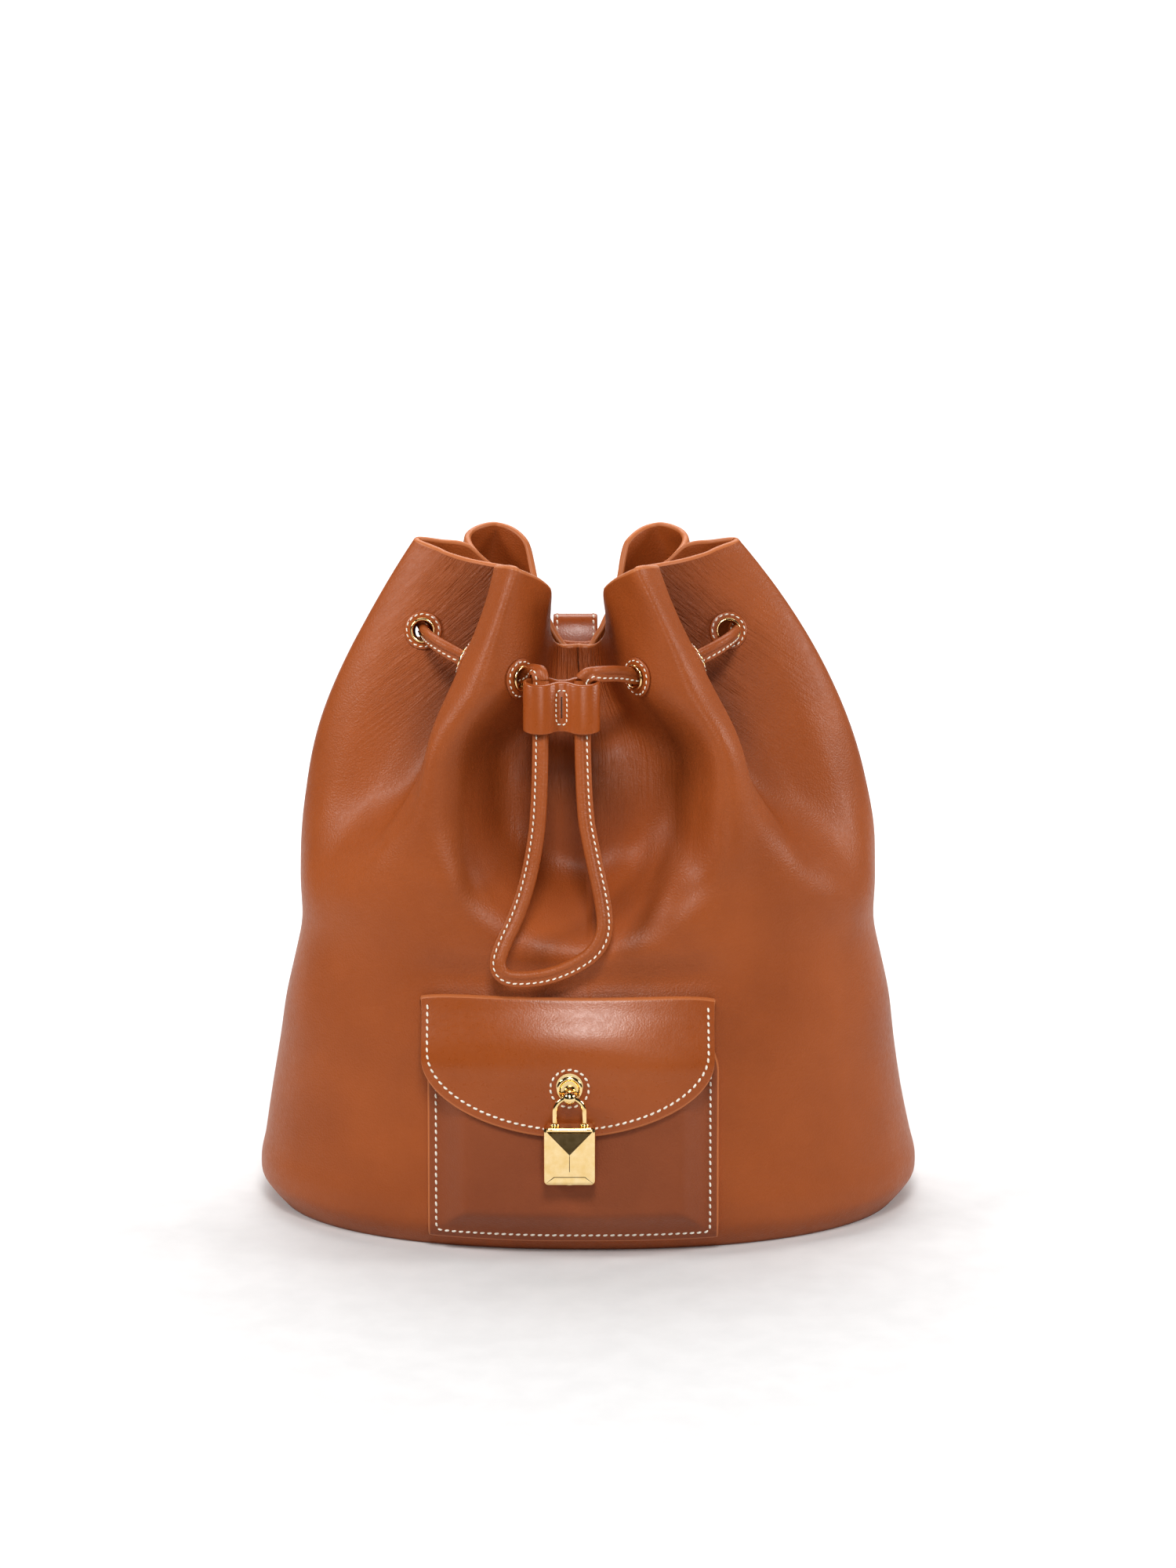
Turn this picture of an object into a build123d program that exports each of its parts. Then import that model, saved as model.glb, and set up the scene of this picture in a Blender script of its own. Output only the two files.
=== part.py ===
from build123d import *
import functools
import math
import os

# ---------------------------------------------------------------------------
# Drawstring bucket bag, millimetres, +Z up, front towards -Y.
# Origin: middle of the flat base, on the surface that the bag stands on.
# ---------------------------------------------------------------------------

# Leather body
LEATHER = 2.2                 # thickness of the body leather
OVAL_POWER = 2.2              # exponent of the base oval, a little squarer than an ellipse
MOUTH_SHIFT = -5.0            # the gathered mouth sits this far to the left of the base centre

# Half width and half depth of the ungathered body against height
HALF_WIDTH = [(0, 143), (6, 148), (12, 152), (18, 152.5), (30, 150), (51, 146), (75, 142),
              (96, 139), (118, 134), (130, 131.5), (150, 132.5), (165, 132.5), (192, 131)]
HALF_DEPTH = [(0, 86), (6, 91), (12, 94), (18, 94.5), (30, 93), (51, 90), (96, 86),
              (134, 83), (165, 80)]

# Half of the gathered rim, front middle to back middle: x, y, height of the edge, and the
# height at which the leather starts to leave the body oval.  Every sixth row from the first
# is a valley, the rows half-way between are ridges, and the other half is the mirror image.
RIM = [
    (0, 8, 255, 128), (-11, 1, 259, 133), (-12, -30, 287, 149),
    (-27, -56, 299, 165), (-43, -43, 299, 165), (-43, -25, 296, 163),
    (-38, -13, 294, 154), (-50, -9, 297, 146), (-63, -4, 301, 148),
    (-74, 5, 305, 165), (-63, 13, 303, 160), (-50, 17, 300, 150),
    (-38, 21, 289, 146), (-47, 33, 293, 147), (-52, 50, 301, 150),
    (-38, 63, 304, 150), (-22, 54, 296, 145), (-13, 36, 266, 132),
    (0, 28, 249, 128),
]
RIDGE_SHARE = [0.0, 0.25, 0.75, 1.0, 0.75, 0.25]    # how much of a ridge each rim row is
STATIONS = 2 * (len(RIM) - 1)
QUARTER = STATIONS // 4                             # stations from the front to a side seam
RIDGE_SLIM = {3: 2.0, 4: 7.0, 5: 9.0, 6: 6.0}       # the front ridges' tops are slimmer by this
SLIM_RISE = (225, 290)                              # heights between which they grow slimmer

# The round hollow between the two front ridges
BOWL_X = -3.0
BOWL_Z = 197.0
BOWL_HALF_WIDTH = 62.0
BOWL_HALF_HEIGHT = 61.0
BOWL_DEPTH = 40.0
BOWL_TOP = (250, 212)         # heights between which it passes into the gathered mouth
BOWL_STATIONS = (4.6, 3.2)    # stations from the front middle between which it starts

# Heights of the outlines that the wall is lofted through; the last is past the rim, which is
# trimmed afterwards
WALL_HEIGHTS = [0, 3, 8, 18, 40, 75, 105, 128, 138, 147, 156, 166, 178, 190, 203, 215, 228, 240,
                251, 262, 282, 310]
RIM_LINE = [(-95, 306), (-74, 305), (-58, 299), (-41, 295), (-28, 299), (-18, 291),
            (-12.5, 268), (-8, 255), (0, 252)]      # height of the trimmed edge across the mouth

# Base
BASE_LEATHER = 2.2
BASE_INSET = 2.6              # the base panel sits this far inside the turned wall edge
BOARD_THICKNESS = 2.4
BOARD_INSET = 9.0

# Lining
LINING_GAP = 0.4
LINING_THICKNESS = 0.8
LINING_FLOOR = 8.0
LINING_DROP = 7.0             # the lining ends this far under the cut leather edge
LINING_HOLE = 9.0

# Eyelets: station round the rim and height, left half; the right half is mirrored and shifted
EYELETS = [(2.3, 252), (4.9, 257), (7.4, 266), (10.6, 262), (13.5, 256), (16.3, 250)]
EYELET_SHIFT = 0.12           # stations by which the right half is turned towards the front
EYELET_BORE = 4.4             # radius of the hole that the cord runs through
EYELET_BARREL = 5.0
EYELET_FLANGE = 6.2
EYELET_FLANGE_THICKNESS = 0.9
PATCH_RADIUS = 8.6            # stitched leather ring round each eyelet
PATCH_THICKNESS = 1.2
WASHER_RADIUS = 6.8
WASHER_THICKNESS = 0.8
FIT_GAP = 0.3                 # between a flat ring and the curved leather under it

# Drawstring, a piped leather cord
CORD_RADIUS = 2.5
LEG_X = (-20.5, -2.5)         # the two cord legs that the slider holds
SLIDER_TOP_Y = -62.0
SLIDER_TOP_Z = 252.0
LEG_LEAN = 11.5               # degrees that the legs lean forward on their way down
SLIDER_LENGTH = 21.5
BARREL_HALF_WIDTH = 7.7
BARREL_HALF_DEPTH = 5.6
BARREL_BORE = 3.3
WEB_HALF_DEPTH = 2.6

# Route of the drawstring's ring, left half, from the left barrel to the back middle; the
# right half is its mirror image up to the right barrel
RING_LEFT = [
    (-20.5, -62, 252), (-20.8, -61.2, 256.4), (-24.5, -56, 255.6), (-31, -48, 250.8),
    (-43, -41, 251.5), (-53, -35.5, 256), (-64.5, -32, 261.5), (-72.5, -21.5, 265),
    (-75.8, 2.5, 265), (-77.5, 27.5, 261), (-73.5, 42, 257), (-62, 48.5, 255.3),
    (-47, 50.5, 252), (-33, 52, 250), (-20.5, 59, 248.3), (-8, 61.5, 245.2),
]
RING_MIRROR = -7.0            # sum of the x of a point and its mirror image
RING_RIGHT_END = [(14, -56, 254.4), (5.5, -60, 254.6), (-0.5, -61.4, 254.8), (-2.5, -62, 252)]

# Route of the hanging loop, from the top of the left barrel to the top of the right one
LOOP_ROUTE = [
    (-20.5, -62, 252), (-20.5, -72.4, 201), (-24.5, -78.5, 172), (-30.5, -83.5, 153),
    (-37.5, -87.5, 139.5), (-40, -90, 131), (-36, -91, 125.8), (-27, -91, 125.3),
    (-16, -91, 127), (-5, -90.2, 131.5), (3.8, -88.5, 137.5), (7.8, -86.5, 146),
    (6.6, -82.8, 158.5), (2.2, -77.6, 177), (-2.5, -72.4, 201), (-2.5, -62, 252),
]

# Pocket on the front
POCKET_X = -8.0
POCKET_HALF_WIDTH = 62.0
POCKET_BOTTOM = 7.0
POCKET_TOP = 99.0
POCKET_DEPTH = 8.0            # how far its face stands off the body
POCKET_MOUTH_DEPTH = 5.0
POCKET_LEATHER = 1.8
POCKET_SIDE = 4.0             # width of the stitched edge
POCKET_RISE = 10.0            # from the stitched edge to the full depth

# Pocket flap
FLAP_HALF_WIDTH = 65.0
FLAP_TOP = 115.0
FLAP_SIDE_DROP = 25.0         # straight part of each side
FLAP_BOTTOM = 58.0
FLAP_STANDOFF = [(58, 10.9), (80, 10.9), (90, 10.6), (98, 8.8), (104, 6.2), (110, 3.2), (115, 1.2)]
FLAP_LINING = 0.8
FLAP_LEATHER = 1.6

# Flap stud, an eye that the padlock hangs in
STUD_Z = 79.0
STUD_PLATE_RADIUS = 5.8
STUD_PLATE_THICKNESS = 1.2
STUD_NECK_RADIUS = 1.7
STUD_NECK_START = 2.3         # behind the middle of the ball
STUD_BALL_RADIUS = 3.1
STUD_EYE_RADIUS = 1.95
EYE_Y = -107.8
EYE_Z = 77.0
SNAP_RADIUS = 7.0

# Padlock
WIRE_RADIUS = 1.1
BOW_RADIUS = 6.4
CASE_TOP = 64.5
CASE_WIDTH = 22.5
CASE_HEIGHT = 26.0
CASE_DEPTH = 8.0
SHACKLE_DEPTH = 8.0           # of the shackle legs inside the case
SHACKLE_CLEARANCE = 0.08
PLUG_RADIUS = 3.2
PLUG_LENGTH = 9.0
PLUG_CLEARANCE = 0.08

# Hang loop on the back
STRAP_WIDTH = 21.0
STRAP_X = -6.0
PATCH_WIDTH = 33.0


# ---------------------------------------------------------------------------
# The body's surface
# ---------------------------------------------------------------------------
def from_table(table, z):
    """Value at height z, straight lines between rows."""
    for (z0, v0), (z1, v1) in zip(table, table[1:]):
        if z <= z1:
            return v0 + (v1 - v0) * (z - z0) / (z1 - z0)
    return table[-1][1]


def oval_points(half_width, half_depth, count):
    """Points evenly spaced along a superellipse, from the front middle round the left side."""
    fine = 1440
    outline = []
    for step in range(fine + 1):
        angle = 2 * math.pi * step / fine
        side, fore = math.sin(angle), math.cos(angle)
        outline.append((-half_width * math.copysign(abs(side) ** (2 / OVAL_POWER), side),
                        -half_depth * math.copysign(abs(fore) ** (2 / OVAL_POWER), fore)))
    travelled = [0.0]
    for (x0, y0), (x1, y1) in zip(outline, outline[1:]):
        travelled.append(travelled[-1] + math.hypot(x1 - x0, y1 - y0))
    points = []
    step = 0
    for index in range(count):
        wanted = travelled[-1] * index / count
        while travelled[step + 1] < wanted:
            step += 1
        share = (wanted - travelled[step]) / (travelled[step + 1] - travelled[step])
        (x0, y0), (x1, y1) = outline[step], outline[step + 1]
        points.append((x0 + (x1 - x0) * share, y0 + (y1 - y0) * share))
    return points


def rim_row(station):
    """The rim row of a station; stations past the back middle mirror the left half."""
    station = station % STATIONS
    if station < len(RIM):
        return RIM[station]
    x, y, edge, foot = RIM[STATIONS - station]
    return (-x, y, edge, foot)


def gather(station, z):
    """How far a station has gone from the body oval to the rim: 0 at its foot, 1 at the rim."""
    x, y, edge, foot = rim_row(station)
    t = min(max((z - foot) / (edge - foot), 0.0), 1.0)
    valley = (1 - (1 - t) ** 1.6) * min(1.0, 0.35 + 2.2 * t)
    ridge = t ** 1.9
    share = RIDGE_SHARE[station % len(RIDGE_SHARE)]
    return (1 - share) * valley + share * ridge


def ease(start, end, value):
    """0 at start and before it, 1 at end and past it, smooth in between."""
    t = min(max((value - start) / (end - start), 0.0), 1.0)
    return t * t * (3 - 2 * t)


def bowl_depth(x, z):
    """How far the hollow between the front ridges lies behind the body's front."""
    below = max(BOWL_Z - z, 0.0) / BOWL_HALF_HEIGHT
    from_middle = math.hypot((x - BOWL_X) / BOWL_HALF_WIDTH, below)
    return (BOWL_DEPTH + 0.3 * max(z - BOWL_Z, 0.0)) * ease(1.05, 0.5, from_middle)


@functools.lru_cache(maxsize=None)
def body_section(z):
    """The body's outline at height z, one point for each station."""
    outline = []
    oval = oval_points(from_table(HALF_WIDTH, z), from_table(HALF_DEPTH, z), STATIONS)
    for station, (x, y) in enumerate(oval):
        rim_x, rim_y = rim_row(station)[:2]
        w = gather(station, z)
        from_front = min(station, STATIONS - station)
        slim = RIDGE_SLIM.get(from_front, 0.0) * ease(*SLIM_RISE, z)
        gathered_x = x + (rim_x + MOUTH_SHIFT - x) * w + (slim if station < QUARTER else -slim)
        gathered_y = y + (rim_y - y) * w
        bowl = ease(*BOWL_STATIONS, from_front) * ease(*BOWL_TOP, z)
        outline.append((gathered_x + (x - gathered_x) * bowl,
                        gathered_y + (y + bowl_depth(x, z) - gathered_y) * bowl))
    return outline


def surface_point(station, z):
    """A point of the body's surface between stations, on a smooth curve through them."""
    outline = body_section(z)
    first = math.floor(station)
    t = station - first
    place = []
    for p, q, r, s in zip(*(outline[(first + k) % STATIONS] for k in (-1, 0, 1, 2))):
        place.append(q + 0.5 * t * (r - p + t * (2 * p - 5 * q + 4 * r - s
                                                 + t * (3 * (q - r) + s - p))))
    return Vector(place[0], place[1], z)


def surface_normal(station, z):
    """The direction out of the bag at a point of its surface."""
    step = 0.2
    rise = 2.0
    along = surface_point(station + step, z) - surface_point(station - step, z)
    up = surface_point(station, z + rise) - surface_point(station, max(z - rise, 0))
    return up.cross(along).normalized()


def eyelet_plane(station, z):
    """A plane that lies on the body's surface, its Z pointing out of the bag."""
    return Plane(origin=surface_point(station, z), z_dir=surface_normal(station, z))


def panel(first, last, near, far, heights=WALL_HEIGHTS):
    """The gathered wall between two stations as a closed piece, not yet trimmed at the rim."""
    def moved(station, z, distance):
        normal = surface_normal(station, z)
        flat = Vector(normal.X, normal.Y, 0).normalized()
        place = surface_point(station, z) + flat * distance
        return (place.X, place.Y)

    stations = range(first, last + 1)
    with BuildPart() as piece:
        for z in heights:
            with BuildSketch(Plane.XY.offset(z)):
                with BuildLine():
                    outer = Spline(*[moved(s, z, far) for s in stations])
                    inner = Spline(*[moved(s, z, near) for s in stations])
                    Line(outer @ 0, inner @ 0)
                    Line(outer @ 1, inner @ 1)
                make_face()
        loft(ruled=True)
    return piece.part


def above_rim(drop):
    """Everything above the gathered mouth's edge, lowered by the given distance."""
    left = [(x + MOUTH_SHIFT, z - drop) for x, z in RIM_LINE]
    right = [(MOUTH_SHIFT - x, z - drop) for x, z in reversed(RIM_LINE[:-1])]
    with BuildPart() as cutter:
        with BuildSketch(Plane.XZ):
            with BuildLine():
                edge = Spline(*left, *right)
                Polyline(edge @ 1, (120, 340), (-130, 340), edge @ 0)
            make_face()
        extrude(amount=120, both=True)
    return cutter.part


def discs(planes, radius, low, high):
    """One disc on each plane, between two distances from the plane."""
    with BuildPart() as group:
        for plane in planes:
            with BuildSketch(plane.offset(low)):
                Circle(radius)
            extrude(amount=high - low)
    return group.part


def cord_tube(route):
    """Round cord along straight runs joined by the largest arcs that the runs allow."""
    points = [Vector(*point) for point in route]
    radii = []
    for before, here, after in zip(points, points[1:], points[2:]):
        arriving, leaving = here - before, after - here
        half_turn = math.radians(arriving.get_angle(leaving)) / 2
        radii.append(0.45 * min(arriving.length, leaving.length) / math.tan(half_turn))
    print("cord radii", [round(radius, 1) for radius in radii])
    with BuildPart() as tube:
        with BuildLine() as line:
            FilletPolyline(*points, radius=radii)
        with BuildSketch(Plane(origin=line.line @ 0, z_dir=line.line % 0)):
            Circle(CORD_RADIUS)
        sweep(transition=Transition.ROUND)
    section = math.pi * CORD_RADIUS ** 2
    length = line.wires()[0].length
    print("cord length", round(length, 1),
          "volume / (section x length)", round(tube.part.volume / section / length, 4))
    return tube.part


def front_y(x, z):
    """Y of the ungathered front of the body."""
    across = abs(x / from_table(HALF_WIDTH, z)) ** OVAL_POWER
    return -from_table(HALF_DEPTH, z) * (1 - across) ** (1 / OVAL_POWER)


def front_sheet(half_width, heights, near, far):
    """A piece that lies on the front: near(x, z) and far(x, z) are distances off the body."""
    columns = [half_width * step / 8 for step in range(-8, 9)]
    with BuildPart() as piece:
        for z in heights:
            with BuildSketch(Plane.XY.offset(z)):
                with BuildLine():
                    outer = Spline(*[(POCKET_X + x, front_y(POCKET_X + x, z) - far(x, z))
                                     for x in columns])
                    inner = Spline(*[(POCKET_X + x, front_y(POCKET_X + x, z) - near(x, z))
                                     for x in columns])
                    Line(outer @ 0, inner @ 0)
                    Line(outer @ 1, inner @ 1)
                make_face()
        loft(ruled=True)
    return piece.part


def front_plane(z):
    """A plane on the front of the body in the middle of the pocket, its Z pointing out."""
    rise = from_table(HALF_DEPTH, z - 10) - from_table(HALF_DEPTH, z + 10)
    return Plane(origin=(POCKET_X, front_y(POCKET_X, z), z), x_dir=(1, 0, 0),
                 z_dir=(0, -20, rise))


os.makedirs("parts", exist_ok=True)


eyelet_planes = [eyelet_plane(station, z) for station, z in EYELETS]
eyelet_planes += [eyelet_plane(STATIONS + EYELET_SHIFT - station, z) for station, z in reversed(EYELETS)]

mouth_cutter = above_rim(0.0)
lining_cutter = above_rim(LINING_DROP)
barrel_holes = discs(eyelet_planes, EYELET_BARREL, -6, 6)
lining_holes = discs(eyelet_planes, LINING_HOLE, -8, 6)

# ---------------------------------------------------------------------------
# Body leather
# ---------------------------------------------------------------------------
with BuildPart() as front_panel:
    add(panel(-QUARTER, QUARTER, -LEATHER, 0.0))
    add(mouth_cutter, mode=Mode.SUBTRACT)
    add(barrel_holes, mode=Mode.SUBTRACT)
front_panel.part.label = "front_panel"
export_step(front_panel.part, "parts/front_panel.step")

with BuildPart() as back_panel:
    add(panel(QUARTER, 3 * QUARTER, -LEATHER, 0.0))
    add(mouth_cutter, mode=Mode.SUBTRACT)
    add(barrel_holes, mode=Mode.SUBTRACT)
back_panel.part.label = "back_panel"
export_step(back_panel.part, "parts/back_panel.step")

# ---------------------------------------------------------------------------
# Base: the leather oval, and the stiffener that lies on it
# ---------------------------------------------------------------------------
with BuildPart() as base_panel:
    with BuildSketch():
        with BuildLine():
            Spline(*oval_points(HALF_WIDTH[0][1] - BASE_INSET, HALF_DEPTH[0][1] - BASE_INSET,
                                STATIONS), periodic=True)
        make_face()
    extrude(amount=BASE_LEATHER)
base_panel.part.label = "base_panel"
export_step(base_panel.part, "parts/base_panel.step")

with BuildPart() as base_board:
    with BuildSketch(Plane.XY.offset(BASE_LEATHER)):
        with BuildLine():
            Spline(*oval_points(HALF_WIDTH[0][1] - BOARD_INSET, HALF_DEPTH[0][1] - BOARD_INSET,
                                STATIONS), periodic=True)
        make_face()
    extrude(amount=BOARD_THICKNESS)
base_board.part.label = "base_board"
export_step(base_board.part, "parts/base_board.step")

# ---------------------------------------------------------------------------
# Lining, a thin skin just inside the leather
# ---------------------------------------------------------------------------
lining_far = -LEATHER - LINING_GAP
lining_near = lining_far - LINING_THICKNESS
lining_heights = [z for z in WALL_HEIGHTS if z >= LINING_FLOOR]

with BuildPart() as front_lining:
    add(panel(-QUARTER, QUARTER, lining_near, lining_far, lining_heights))
    add(lining_cutter, mode=Mode.SUBTRACT)
    add(lining_holes, mode=Mode.SUBTRACT)
front_lining.part.label = "front_lining"
export_step(front_lining.part, "parts/front_lining.step")

with BuildPart() as back_lining:
    add(panel(QUARTER, 3 * QUARTER, lining_near, lining_far, lining_heights))
    add(lining_cutter, mode=Mode.SUBTRACT)
    add(lining_holes, mode=Mode.SUBTRACT)
back_lining.part.label = "back_lining"
export_step(back_lining.part, "parts/back_lining.step")

# ---------------------------------------------------------------------------
# Eyelets with their stitched leather rings and inner washers
# ---------------------------------------------------------------------------
flange_seat = PATCH_THICKNESS + FIT_GAP
washer_seat = -LEATHER - FIT_GAP - WASHER_THICKNESS
for number, plane in enumerate(eyelet_planes, start=1):
    with BuildPart() as eyelet:
        with BuildSketch(plane.offset(washer_seat)):
            Circle(EYELET_BARREL)
        extrude(amount=flange_seat - washer_seat)
        with BuildSketch(plane.offset(flange_seat)):
            Circle(EYELET_FLANGE)
        extrude(amount=EYELET_FLANGE_THICKNESS)
        with BuildSketch(plane.offset(washer_seat)):
            Circle(EYELET_FLANGE - 0.3)
        extrude(amount=-EYELET_FLANGE_THICKNESS / 2)
        with BuildSketch(plane.offset(washer_seat - 2)):
            Circle(EYELET_BORE)
        extrude(amount=flange_seat - washer_seat + 5, mode=Mode.SUBTRACT)
    eyelet.part.label = f"eyelet_{number:02d}"
    export_step(eyelet.part, f"parts/eyelet_{number:02d}.step")

band_heights = [z for z in WALL_HEIGHTS if 200 < z < 300]
with BuildPart() as eyelet_rings:
    add(panel(-QUARTER, QUARTER, 0.0, PATCH_THICKNESS, band_heights))
    add(panel(QUARTER, 3 * QUARTER, 0.0, PATCH_THICKNESS, band_heights))
    add(discs(eyelet_planes, PATCH_RADIUS, -4, 4), mode=Mode.INTERSECT)
    add(barrel_holes, mode=Mode.SUBTRACT)
eyelet_rings.part.label = "eyelet_rings"
export_step(eyelet_rings.part, "parts/eyelet_rings.step")

with BuildPart() as eyelet_washers:
    add(discs(eyelet_planes, WASHER_RADIUS, washer_seat, washer_seat + WASHER_THICKNESS))
    add(barrel_holes, mode=Mode.SUBTRACT)
eyelet_washers.part.label = "eyelet_washers"
export_step(eyelet_washers.part, "parts/eyelet_washers.step")

# ---------------------------------------------------------------------------
# Drawstring and its slider
# ---------------------------------------------------------------------------
ring_right = [(RING_MIRROR - x, y, z) for x, y, z in reversed(RING_LEFT[3:])]
drawstring_ring = cord_tube(RING_LEFT + ring_right + RING_RIGHT_END)
drawstring_ring.label = "drawstring_ring"
export_step(drawstring_ring, "parts/drawstring_ring.step")

drawstring_loop = cord_tube(LOOP_ROUTE)
drawstring_loop.label = "drawstring_loop"
export_step(drawstring_loop, "parts/drawstring_loop.step")

lean = math.radians(LEG_LEAN)
leg_spacing = LEG_X[1] - LEG_X[0]
slider_plane = Plane(origin=((LEG_X[0] + LEG_X[1]) / 2, SLIDER_TOP_Y, SLIDER_TOP_Z),
                     x_dir=(1, 0, 0), z_dir=(0, math.sin(lean), math.cos(lean)))
with BuildPart() as cord_slider:
    with BuildSketch(slider_plane):
        with Locations((-leg_spacing / 2, 0), (leg_spacing / 2, 0)):
            Ellipse(BARREL_HALF_WIDTH, BARREL_HALF_DEPTH)
        Rectangle(leg_spacing, 2 * WEB_HALF_DEPTH)
        with Locations((-leg_spacing / 2, 0), (leg_spacing / 2, 0)):
            Circle(BARREL_BORE, mode=Mode.SUBTRACT)
    extrude(amount=-SLIDER_LENGTH)
cord_slider.part.label = "cord_slider"
export_step(cord_slider.part, "parts/cord_slider.step")


# ---------------------------------------------------------------------------
# Pocket
# ---------------------------------------------------------------------------
def pocket_standoff(x, z):
    """The pocket lies on the body at its stitched edges and stands off it in between."""
    from_edge = min(POCKET_HALF_WIDTH - abs(x), z - POCKET_BOTTOM) - POCKET_SIDE
    t = min(max(from_edge / POCKET_RISE, 0.0), 1.0)
    towards_mouth = min(max((z - 80) / (POCKET_TOP - 80), 0.0), 1.0)
    depth = POCKET_DEPTH + (POCKET_MOUTH_DEPTH - POCKET_DEPTH) * towards_mouth
    return FIT_GAP + depth * t * t * (3 - 2 * t)


pocket_heights = [POCKET_BOTTOM, POCKET_BOTTOM + POCKET_SIDE, 14, 18, 22, 30, 45, 62, 80, 90,
                  POCKET_TOP]
with BuildPart() as pocket_panel:
    add(front_sheet(POCKET_HALF_WIDTH, pocket_heights, pocket_standoff,
                    lambda x, z: pocket_standoff(x, z) + POCKET_LEATHER))
pocket_panel.part.label = "pocket_panel"
export_step(pocket_panel.part, "parts/pocket_panel.step")


def flap_standoff(x, z):
    """The flap leaves the body at its top edge and hangs clear of the pocket."""
    return from_table(FLAP_STANDOFF, z)


flap_heights = [z for z, standoff in FLAP_STANDOFF]
with BuildPart() as flap_outline:
    with BuildSketch(Plane.XZ):
        with BuildLine():
            left = POCKET_X - FLAP_HALF_WIDTH
            right = POCKET_X + FLAP_HALF_WIDTH
            corner = FLAP_TOP - FLAP_SIDE_DROP
            Polyline((left, corner), (left, FLAP_TOP + 1), (right, FLAP_TOP + 1), (right, corner))
            Spline((right, corner), (POCKET_X + 40, 65.5), (POCKET_X, FLAP_BOTTOM),
                   (POCKET_X - 40, 65.5), (left, corner), tangents=((0, -1), (0, 1)))
        make_face()
    extrude(amount=130)

stud_plane = front_plane(STUD_Z)
flap_inner = flap_standoff(0, STUD_Z)
with BuildPart() as flap_lining:
    add(front_sheet(FLAP_HALF_WIDTH, flap_heights, flap_standoff,
                    lambda x, z: flap_standoff(x, z) + FLAP_LINING))
    add(flap_outline.part, mode=Mode.INTERSECT)
    add(discs([stud_plane], SNAP_RADIUS + FIT_GAP, flap_inner - 3, flap_inner + 3),
        mode=Mode.SUBTRACT)
flap_lining.part.label = "flap_lining"
export_step(flap_lining.part, "parts/flap_lining.step")

with BuildPart() as pocket_flap:
    add(front_sheet(FLAP_HALF_WIDTH, flap_heights,
                    lambda x, z: flap_standoff(x, z) + FLAP_LINING,
                    lambda x, z: flap_standoff(x, z) + FLAP_LINING + FLAP_LEATHER))
    add(flap_outline.part, mode=Mode.INTERSECT)
pocket_flap.part.label = "pocket_flap"
export_step(pocket_flap.part, "parts/pocket_flap.step")

with BuildPart() as snap_keeper:
    add(discs([stud_plane], SNAP_RADIUS, flap_inner, flap_inner + FLAP_LINING - 0.1))
snap_keeper.part.label = "snap_keeper"
export_step(snap_keeper.part, "parts/snap_keeper.step")

pocket_inner = pocket_standoff(0, STUD_Z)
with BuildPart() as snap_magnet:
    add(discs([stud_plane], SNAP_RADIUS, pocket_inner - 2.4, pocket_inner - 0.3))
snap_magnet.part.label = "snap_magnet"
export_step(snap_magnet.part, "parts/snap_magnet.step")

# ---------------------------------------------------------------------------
# Flap stud: a round plate, a neck and a ball with an eye through it
# ---------------------------------------------------------------------------
stud_seat = flap_inner + FLAP_LINING + FLAP_LEATHER
eye_plane = Plane(origin=(POCKET_X, EYE_Y, EYE_Z), x_dir=(1, 0, 0), z_dir=(0, -1, 0))
neck_length = front_y(POCKET_X, STUD_Z) - stud_seat - STUD_PLATE_THICKNESS / 2 - EYE_Y
with BuildPart() as flap_stud:
    with BuildSketch(Plane(origin=(POCKET_X, EYE_Y, EYE_Z))):
        Circle(STUD_BALL_RADIUS)
        with Locations((0, STUD_EYE_RADIUS)):
            Rectangle(3 * STUD_BALL_RADIUS, 2 * STUD_BALL_RADIUS, mode=Mode.INTERSECT,
                      align=(Align.CENTER, Align.MIN))
    revolve(axis=Axis((POCKET_X, EYE_Y, EYE_Z), (1, 0, 0)))
    with BuildSketch(eye_plane.offset(-STUD_NECK_START)):
        Circle(STUD_NECK_RADIUS)
    extrude(amount=STUD_NECK_START - neck_length)
    add(discs([stud_plane], STUD_PLATE_RADIUS, stud_seat, stud_seat + STUD_PLATE_THICKNESS))
flap_stud.part.label = "flap_stud"
export_step(flap_stud.part, "parts/flap_stud.step")

# ---------------------------------------------------------------------------
# Padlock: shackle, case and key plug
# ---------------------------------------------------------------------------
bow_centre = -BOW_RADIUS
leg_foot = CASE_TOP - SHACKLE_DEPTH - EYE_Z
with BuildPart() as shackle:
    with BuildLine(eye_plane) as shackle_line:
        rise = Line((-BOW_RADIUS, leg_foot), (-BOW_RADIUS, bow_centre))
        bow = ThreePointArc(rise @ 1, (0, bow_centre + BOW_RADIUS), (BOW_RADIUS, bow_centre))
        Line(bow @ 1, (BOW_RADIUS, leg_foot))
    with BuildSketch(Plane(origin=shackle_line.line @ 0, z_dir=shackle_line.line % 0)):
        Circle(WIRE_RADIUS)
    sweep()
shackle.part.label = "shackle"
export_step(shackle.part, "parts/shackle.step")

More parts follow.
